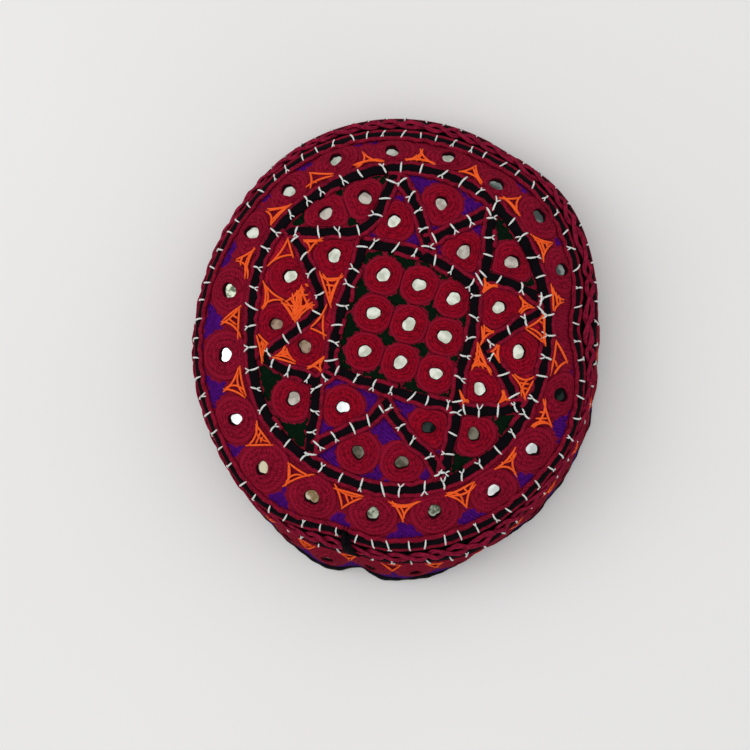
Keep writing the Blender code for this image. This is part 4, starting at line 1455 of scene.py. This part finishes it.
def corner_threads(corners: np.ndarray,
                   draw: np.random.Generator) -> tuple[np.ndarray, np.ndarray, np.ndarray]:
    """Threads of an open three-cornered figure: bowed sides, about half doubled, and up to two bars.

    The sides run a little past the corners or stop a little short of them.

    Args:
        corners: The three corners, of shape (3, 2).
        draw: Source of the small differences between figures.

    Returns:
        Starts and ends of shape (k, 2), and sideways bows of shape (k,).
    """
    middle = corners.mean(axis=0)
    starts, ends, bows = [], [], []
    for a, b in ((0, 1), (1, 2), (2, 0)):
        start, end = corners[a], corners[b]
        span = end - start
        inward = float((middle - 0.5 * (start + end)) @ sideways(span / np.linalg.norm(span)))
        for inset in (0.0, 0.3)[:1 + int(draw.random() < 0.55)]:
            over = span * draw.uniform(-0.03, 0.1, (2, 1))
            starts.append(start - over[0] + inset * (middle - start) + draw.normal(0.0, 0.4, 2))
            ends.append(end + over[1] + 0.4 * inset * (middle - end) + draw.normal(0.0, 0.4, 2))
            bows.append(inward * draw.uniform(-0.05, 0.75))
    apex = int(draw.integers(3))
    for share in (0.38, 0.66)[:int(draw.integers(3))]:
        bar = [corners[apex] + share * (corners[(apex + turn) % 3] - corners[apex]) for turn in (1, 2)]
        one, two = (place + 0.2 * (middle - place) + draw.normal(0.0, 0.2, 2) for place in bar)
        starts.append(one)
        ends.append(two)
        bows.append(draw.uniform(-0.3, 0.3))
    return np.array(starts), np.array(ends), np.array(bows)


@dataclass
class OrangeStitches:
    """Open three-cornered stitches in orange: long threads between corners that bow inward."""

    chart: CrownChart
    figures: tuple[tuple[Place, ...], ...] = (
        ((-40, 40.5), (-47.5, 30), (-37.5, 33.5)),
        ((-34.5, 39.5), (-26, 39.5), (-31, 34)),
        ((-50, 23), (-50.5, 12.5), (-42, 15.5)),
        ((-41.5, 15.5), (-34, 20.5), (-37, 7)),
        ((-34, 20.5), (-30, 12.5), (-37, 9)),
        ((-26.5, 25.5), (-18, 25), (-23.5, 13.5)),
        ((-24.5, 13), (-30.5, 4.5), (-24.5, 1)),
        ((-52, 2), (-47.5, -2), (-50, -9.5)),
        ((-40.5, -2.5), (-45.5, -7), (-37.5, -9)),
        ((-25, -7), (-32, -11.5), (-26.5, -12.5)),
        ((37.5, 23), (42.5, 20.5), (37, 17)),
        ((51.5, 16.5), (56, 12.5), (51.5, 10.5)),
        ((36.5, 5), (41.5, 2.5), (36.5, -2.5)),
        ((60.5, 10.5), (53.5, 4.5), (61, -2.5)),
        ((43, -2.5), (40, -5), (43, -9.5)),
        ((34.5, -2), (32, -11.5), (40, -13.5)),
        ((48, -14), (56.5, -15), (52.5, -23.5)),
        ((28.5, -21), (29, -26), (31, -25)),
        ((45, -20), (43, -25.5), (46.5, -24)),
    )
    tangle: tuple[Place, ...] = ((-42.0, 15.0), (-34.0, 21.5), (-28.5, 13.0), (-37.0, 8.0))
    radius: float = 0.42
    seed: int = 7

    def tangled(self, draw: np.random.Generator) -> tuple[np.ndarray, np.ndarray, np.ndarray]:
        """Threads of the crowded figure: a fan from the last corner, and long threads across it."""
        a, b, c, d = np.array(self.tangle)
        share = np.linspace(0.0, 1.0, 5)[:, None]
        starts = np.concatenate([a + (b - a) * share, b + (c - b) * share[1:], a + (b - a) * share[::2]])
        ends = np.concatenate([np.broadcast_to(d, (9, 2)), c + (b - c) * share[::2]])
        starts = starts + draw.normal(0.0, 0.5, starts.shape)
        ends = ends + draw.normal(0.0, 0.9, ends.shape)
        return starts, ends, draw.uniform(-1.5, 1.0, len(starts))

    def border_corners(self) -> list[np.ndarray]:
        """Corners of the figure between each two roundels of the border, on the inner side."""
        form = self.chart.form
        places = (*self.chart.border_places, self.chart.plain_place)
        turns = np.sort(np.radians(np.array([turn_deg for turn_deg, _ in places])))
        following = np.append(turns[1:], turns[0] + 2.0 * np.pi)
        corners = []
        for turn, after in zip(turns, following):
            middle, spread = 0.5 * (turn + after), 0.26 * (after - turn)
            drawn = []
            for angle, share in ((middle - spread, 0.22), (middle + spread, 0.22), (middle, 0.56)):
                inner = form.ring.point(np.array(angle))
                outer = form.edge.point(np.array(angle))
                drawn.append(inner + (outer - inner) * share)
            corners.append(np.array(drawn))
        return corners

    def build(self, wardrobe: Wardrobe) -> bpy.types.Object:
        """Make every figure of the star and the border."""
        draw = np.random.default_rng(self.seed)
        shape = Shape(self.chart.form)
        figures = [corner_threads(np.array(corners, float), draw) for corners in self.figures]
        figures += [corner_threads(corners, draw) for corners in self.border_corners()]
        for starts, ends, bows in [*figures, self.tangled(draw)]:
            paths = arcs(starts, ends, bows, 0.75, 1.25, 9)
            paths[..., 2] += draw.uniform(0.0, 0.5, (len(paths), 1))
            shape.add_sweeps(strands(paths, self.radius, 6, 0.7), Chart.CROWN)
        return shape.finish("orange_stitches", wardrobe["orange_cotton_thread"])


@dataclass
class SideBand:
    """The wall of the cap: cloth, a row of mirror rosettes, and stitches between them."""

    form: CapForm
    rosettes: Rosettes
    count: int = 29
    radius: float = 9.4
    columns: int = 460
    rows: int = 44
    inner_rows: int = 14
    thickness: float = 1.5
    raised: float = 0.3
    glass_radius: float = 2.9
    orange_half_width: float = 4.8
    orange_radius: float = 0.34
    seed: int = 17

    @property
    def middle_run(self) -> float:
        """Run of the rosettes' middles, between the tape and the binding."""
        return 0.5 * (self.form.shoulder_run + 2.0 + self.form.hem_run - self.form.binding_run)

    def centres(self) -> np.ndarray:
        """Rosette middles in the band's chart."""
        x = self.form.band_length * (np.arange(self.count) + 0.5) / self.count
        return np.stack([x, np.full(self.count, self.middle_run)], axis=1)

    def build(self, wardrobe: Wardrobe) -> dict[str, bpy.types.Object]:
        """Make the wall, its rosettes, their mirrors and the orange stitches."""
        form = self.form
        x = form.around(self.columns)
        outer = np.linspace(form.edge_run + 0.2, form.hem_run - 4.0, self.rows)
        inner = np.linspace(form.hem_run - 4.0, form.edge_run + 0.2, self.inner_rows)
        runs = np.concatenate([outer, inner])
        grid_x, grid_run = np.meshgrid(x, runs)
        pitch = form.band_length / self.count
        aside = np.abs((grid_x + 0.5 * pitch) % pitch - 0.5 * pitch)
        toward = np.abs(0.5 * pitch - aside)
        rosette = np.hypot(toward, grid_run - self.middle_run) - self.radius
        lower = grid_run - self.middle_run - 1.0
        purple = np.minimum(rosette - 0.1, lower)
        on_shoulder = grid_run < form.shoulder_run
        fill = np.where(on_shoulder, 2.0, purple)
        black, violet = (np.array(linear(thread.value)) for thread in (FillThread.BLACK, FillThread.PURPLE))
        colours = np.where(on_shoulder[..., None], black, violet)
        pucker = 0.16 * wander(grid_x, 71, 17.0) + 0.1 * wander(grid_run * 3.0 + grid_x, 72, 12.0)
        outside = np.arange(len(runs))[:, None] < len(outer)
        proud = self.raised * smooth_step(-0.3, 0.7, fill) * ~on_shoulder
        height = np.where(outside, pucker + proud, -self.thickness)
        flat = np.stack([grid_x, grid_run, height], axis=-1)
        wall = Shape(form)
        wall.add_sweeps(flat[None], Chart.BAND, loop=True, slots=(~outside[:, 0]).astype(int),
                        fill_mm=np.where(outside, fill, -9.0)[None], fill_colour=colours[None])
        made = {"band_cloth": wall.finish("band_cloth", wardrobe["chain_stitched_cotton"],
                                          wardrobe["crimson_cotton_inside"])}
        sides = self.rosettes.sides
        angle = 2.0 * np.pi * np.arange(sides) / sides
        reach = np.minimum(self.radius, 0.5 * pitch / np.maximum(np.abs(np.cos(angle)), 0.2) - 0.05)
        reaches = np.broadcast_to(reach, (self.count, sides))
        ones = np.ones(self.count)
        # Painted shadow: a 0.2 mm shade-coloured shelf reaches over each band mirror's glass.
        made["band_rosettes"] = self.rosettes.build("band_rosettes", Chart.BAND, self.centres(), reaches,
                                                    ones, 0.0 * ones, 0.2 * ones, ones, wardrobe)
        mirrors = Shape(form)
        ring = round_section(self.glass_radius, sides)[::3]
        discs = np.zeros((self.count, 2, len(ring), 3))
        discs[..., :2] = self.centres()[:, None, None] + ring[None, None]
        discs[..., 2] = np.array([0.1, 0.5])[None, :, None]
        mirrors.add_sweeps(discs, Chart.BAND)
        made["band_mirrors"] = mirrors.finish("band_mirrors", wardrobe["silvered_glass"])
        made["band_orange"] = self.build_orange(wardrobe)
        return made

    def build_orange(self, wardrobe: Wardrobe) -> bpy.types.Object:
        """Three-cornered orange stitches at the upper corners between the rosettes."""
        draw = np.random.default_rng(self.seed)
        pitch = self.form.band_length / self.count
        shape = Shape(self.form)
        top = self.form.shoulder_run + 3.6
        for x in pitch * np.arange(self.count):
            corners = np.array([(x - self.orange_half_width, top), (x + self.orange_half_width, top),
                                (x, self.middle_run - 0.3)])
            paths = arcs(*corner_threads(corners, draw), 0.35, 0.8, 8)
            shape.add_sweeps(strands(paths, self.orange_radius, 5, 0.7), Chart.BAND)
        return shape.finish("band_orange", wardrobe["orange_cotton_thread"])


@dataclass
class ShoulderBraid:
    """Interlaced wavy braid on the shoulder: two bundles of three threads that cross."""

    form: CapForm
    waves: int = 30
    sway: float = 2.15
    threads: int = 3
    spacing: float = 0.8
    thread_radius: float = 0.52

    def build(self, wardrobe: Wardrobe) -> bpy.types.Object:
        """Each bundle follows a sine of the distance, and rides over and under at the crossings.

        The sine's phase and reach wander around the cap, so that no two loops are alike.
        """
        form = self.form
        shape = Shape(form)
        stations = self.waves * 20
        share = np.arange(stations) / stations
        x = form.band_length * share
        along = form.around(stations, stations + 1)
        middle = 0.5 * (form.edge_run + form.shoulder_run) + 0.8 + 0.4 * loop_wander(share, 31, 14)
        phase = 2.0 * np.pi * self.waves * share + 0.6 * loop_wander(share, 32, 12)
        section = round_section(self.thread_radius, 6, 0.85)
        for side in (-1.0, 1.0):
            sway = self.sway * (1.0 + 0.25 * loop_wander(share, 34 + int(side), 22))
            for number in range(self.threads):
                offset = (number - 0.5 * (self.threads - 1)) * self.spacing
                stray = 0.14 * loop_wander(share, 40 + 3 * int(side) + number, 70)
                y = middle + side * sway * np.sin(phase) + offset + stray
                height = 1.65 + 0.55 * side * np.cos(phase) + 0.2 * (1 - abs(number - 1)) + stray
                slope = np.gradient(y, x)
                across = np.stack([-slope, np.ones_like(slope)], axis=1) / np.hypot(1.0, slope)[:, None]
                plan = np.stack([x, y], axis=1)[:, None] + across[:, None] * section[None, :, :1]
                flat = np.concatenate([plan, (height[:, None] + section[None, :, 1])[..., None]], axis=-1)
                shape.add_sweeps(flat[None], Chart.BAND, loop=True, along=along)
        return shape.finish("wavy_braid", wardrobe["crimson_braid_thread"])


@dataclass
class SeamStitches:
    """Ragged black stitches over the join of the braid, from the edge tape to the shoulder tape."""

    form: CapForm
    count: int = 9
    spread: float = 2.0
    lean: float = 3.2
    radius: float = 0.62
    seed: int = 23

    def build(self, wardrobe: Wardrobe) -> bpy.types.Object:
        """Threads of unlike lengths side by side, which lean as they run down over the braid."""
        draw = np.random.default_rng(self.seed)
        x = np.linspace(-self.spread, self.spread, self.count) + draw.normal(0.0, 0.3, self.count)
        top = self.form.edge_run + draw.uniform(-1.6, 1.6, self.count)
        foot = self.form.shoulder_run + draw.uniform(-3.0, 1.2, self.count)
        starts = np.stack([x, top], axis=1)
        ends = np.stack([x + self.lean + draw.normal(0.0, 0.5, self.count), foot], axis=1)
        paths = arcs(starts, ends, draw.uniform(-0.8, 0.8, self.count), 1.3, 3.4, 10)
        shape = Shape(self.form)
        shape.add_sweeps(strands(paths, self.radius, 6, 0.5), Chart.BAND)
        return shape.finish("seam_stitches", wardrobe["black_cotton_tape"])


@dataclass
class HemBinding:
    """Black binding folded round the hem, puckered by its stitches, which the cap stands on."""

    form: CapForm
    stations: int = 400
    pucker_mm: float = 6.5

    def build(self, wardrobe: Wardrobe) -> bpy.types.Object:
        """A rounded section carried round the hem, swelling with a sine of the distance."""
        form = self.form
        x = form.around(self.stations)
        share = np.arange(self.stations) / self.stations
        swell = 0.8 + 0.12 * np.sin(2.0 * np.pi * round(form.band_length / self.pucker_mm) * share)
        swell = swell + 0.3 * loop_wander(share, 41, 26)
        top = form.hem_run - form.binding_run
        section = np.array([(top - 0.6, 0.35), (top + 0.2, 0.9), (top + 1.8, 1.15), (top + 3.4, 1.1),
                            (top + 4.7, 0.6), (top + 5.0, -0.6), (top + 5.0, -1.6), (top + 3.6, -2.3),
                            (top + 1.6, -2.35), (top - 0.2, -2.1), (top - 0.6, -1.2)])
        level = section[None, :, 1]
        height = np.where(level > 0.0, level * swell[:, None], level)
        flat = np.stack(np.broadcast_arrays(x[:, None], section[None, :, 0], height), axis=-1)
        points = form.lay_band(flat)
        points[..., 2] = np.maximum(points[..., 2], 0.0)
        shape = Shape(form)
        along = form.around(self.stations, self.stations + 1)
        shape.add_sweeps(points[None], None, loop=True, along=along)
        return shape.finish("hem_binding_cloth", wardrobe["black_twill_binding"])


@dataclass(frozen=True)
class Softbox:
    """A square soft light: its name, its place and size in metres, and its power in watts."""

    name: str
    place: tuple[float, float, float]
    size: float
    power: float

    def build(self) -> None:
        """Add the light, facing the middle of the table."""
        data = bpy.data.lights.new(self.name, "AREA")
        data.size, data.energy = self.size, self.power
        item = bpy.data.objects.new(self.name, data)
        item.location = self.place
        item.rotation_mode = "QUATERNION"
        item.rotation_quaternion = (-Vector(self.place)).to_track_quat("-Z", "Y")
        bpy.context.scene.collection.objects.link(item)


@dataclass(frozen=True)
class PhotoStage:
    """Table, lights and camera, as the photograph has them."""

    camera_mm: tuple[float, float, float] = (46.0, -64.0, 720.0)
    target_mm: tuple[float, float, float] = (-9.3, -10.6, 0.0)
    focal_px: float = 1716.0
    image_px: float = 750.0
    sensor_mm: float = 36.0
    softboxes: tuple[Softbox, ...] = (
        Softbox("ceiling_softbox", (0.0, 0.25, 1.6), 3.0, 13.0),
        Softbox("window_softbox", (-1.3, 0.2, 1.2), 1.0, 6.0),
    )
    room: str = "E6E8EA"
    room_strength: float = 0.88
    table_reach: float = 1.5

    def build(self, wardrobe: Wardrobe) -> None:
        """Make the camera, the lights, the pale surroundings and the table."""
        eye = (Vector(self.camera_mm) - Vector(BOX_MIDDLE)) * MM
        target = (Vector(self.target_mm) - Vector(BOX_MIDDLE)) * MM
        ahead = (target - eye).normalized()
        right = ahead.cross(Vector((0.0, 1.0, 0.0))).normalized()
        up = right.cross(ahead)
        data = bpy.data.cameras.new("photo_camera")
        data.sensor_width = self.sensor_mm
        data.lens = self.focal_px * self.sensor_mm / self.image_px
        data.clip_start, data.clip_end = 0.01, 20.0
        camera = bpy.data.objects.new("photo_camera", data)
        turned = Matrix((right, up, -ahead)).transposed().to_4x4()
        camera.matrix_world = Matrix.Translation(eye) @ turned
        bpy.context.scene.collection.objects.link(camera)
        bpy.context.scene.camera = camera
        for softbox in self.softboxes:
            softbox.build()
        world = bpy.data.worlds.new("pale_room")
        world.use_nodes = True
        background = world.node_tree.nodes["Background"]
        background.inputs["Color"].default_value = linear(self.room)
        background.inputs["Strength"].default_value = self.room_strength
        bpy.context.scene.world = world
        bpy.context.scene.view_settings.view_transform = "Standard"
        mesh = bpy.data.meshes.new("table_top")
        sides = ((-1.0, -1.0), (1.0, -1.0), (1.0, 1.0), (-1.0, 1.0))
        corners = [(x * self.table_reach, y * self.table_reach, 0.0) for x, y in sides]
        mesh.from_pydata(corners, [], [(0, 1, 2, 3)])
        mesh.materials.append(PaintedTable("painted_table").make())
        table = bpy.data.objects.new("table_top", mesh)
        bpy.context.scene.collection.objects.link(table)


@dataclass
class MirrorWork:
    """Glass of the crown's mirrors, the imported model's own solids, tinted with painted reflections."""

    # Painted reflection: which tint of glass each mirror gets, by the reflection it shows; the rest are
    # silvered.
    glass: tuple[tuple[str, tuple[str, ...]], ...] = (
        ("bright_painted_reflection_glass", ("border_mirror_7", "border_mirror_8", "border_mirror_13", "border_mirror_14",
                          "star_purple_mirror_4")),
        ("mottled_painted_reflection_glass", ("border_mirror_9", "border_mirror_10", "border_mirror_15")),
        ("brown_painted_reflection_glass", ("border_mirror_11", "border_mirror_12")),
        ("buff_painted_reflection_glass", ("star_green_mirror_1", "star_green_mirror_2", "star_green_mirror_3",
                         "star_green_mirror_4", "star_purple_mirror_2", "star_purple_mirror_3")),
        ("dark_brown_painted_reflection_glass", ("star_orange_mirror_3", "star_orange_mirror_4")),
        ("grey_painted_reflection_glass", ("border_mirror_3", "border_mirror_4", "border_mirror_5")),
        ("dim_painted_reflection_glass", ("star_green_mirror_5", "star_purple_mirror_5", "star_purple_mirror_6")),
        ("dark_painted_reflection_glass", ("star_purple_mirror_7", "border_mirror_6")),
    )

    def dress(self, nodes: dict[str, bpy.types.Object], wardrobe: Wardrobe) -> int:
        """Give each mirror its glass and return how many there are."""
        kinds = {name: kind for kind, names in self.glass for name in names}
        mirrors = [name for name in nodes if "_mirror_" in name]
        for name in mirrors:
            nodes[name].data.materials.clear()
            nodes[name].data.materials.append(wardrobe[kinds.get(name, "silvered_glass")])
        return len(mirrors)


def main() -> None:
    """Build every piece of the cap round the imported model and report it."""
    logging.basicConfig(level=logging.INFO, format="%(message)s")
    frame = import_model()
    form = CapForm()
    wardrobe = Wardrobe()
    chart = CrownChart(form)
    band = SideBand(form, Rosettes(form, sides=42, opening=2.3, crest=1.45, rim_height=0.5, seed=12))
    pieces: dict[str, bpy.types.Object] = {"crown_cloth": CrownCloth(chart).build(wardrobe)}
    pieces["crown_rosettes"] = Rosettes(form).build_crown(chart, wardrobe)
    pieces.update(CrownTrim(chart, Tapes()).build(wardrobe))
    pieces["outline_stitches"] = OutlineStitches(chart).build(wardrobe)
    pieces["orange_stitches"] = OrangeStitches(chart).build(wardrobe)
    pieces.update(band.build(wardrobe))
    pieces["wavy_braid"] = ShoulderBraid(form).build(wardrobe)
    pieces["seam_stitches"] = SeamStitches(form).build(wardrobe)
    pieces["hem_binding_cloth"] = HemBinding(form).build(wardrobe)
    slots = {"embroidered_cloth": ("crown_cloth", "crown_rosettes", "outline_stitches", "orange_stitches",
                                   "band_cloth", "band_rosettes", "band_orange"),
             "black_tape": ("star_tapes", "edge_tape", "shoulder_tape", "fly_stitches", "seam_stitches",
                            "hem_binding_cloth"),
             "crimson_braid": ("wavy_braid",),
             "mirror_glass": ("band_mirrors",)}
    replaced = {"crown_cloth": ("crown_panel",), "band_cloth": ("side_band",), "star_tapes": ("star_tape",),
                "edge_tape": ("crown_edge_tape",), "shoulder_tape": ("band_tape",),
                "wavy_braid": ("shoulder_braid",), "hem_binding_cloth": ("hem_binding",)}
    for slot, names in slots.items():
        for name in names:
            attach(pieces[name], "root")
            corners = len(pieces[name].data.loops) - 2 * len(pieces[name].data.polygons)
            LOG.info("%s: %d triangles, in %s", name, corners, slot)
    for name, nodes in replaced.items():
        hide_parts(*nodes)
    frame["nodes"]["seam_tape"].data.materials.clear()
    frame["nodes"]["seam_tape"].data.materials.append(wardrobe["black_cotton_tape"])
    LOG.info("mirrors: %d", MirrorWork().dress(frame["nodes"], wardrobe))
    PhotoStage().build(wardrobe)


if __name__ == "__main__":
    main()
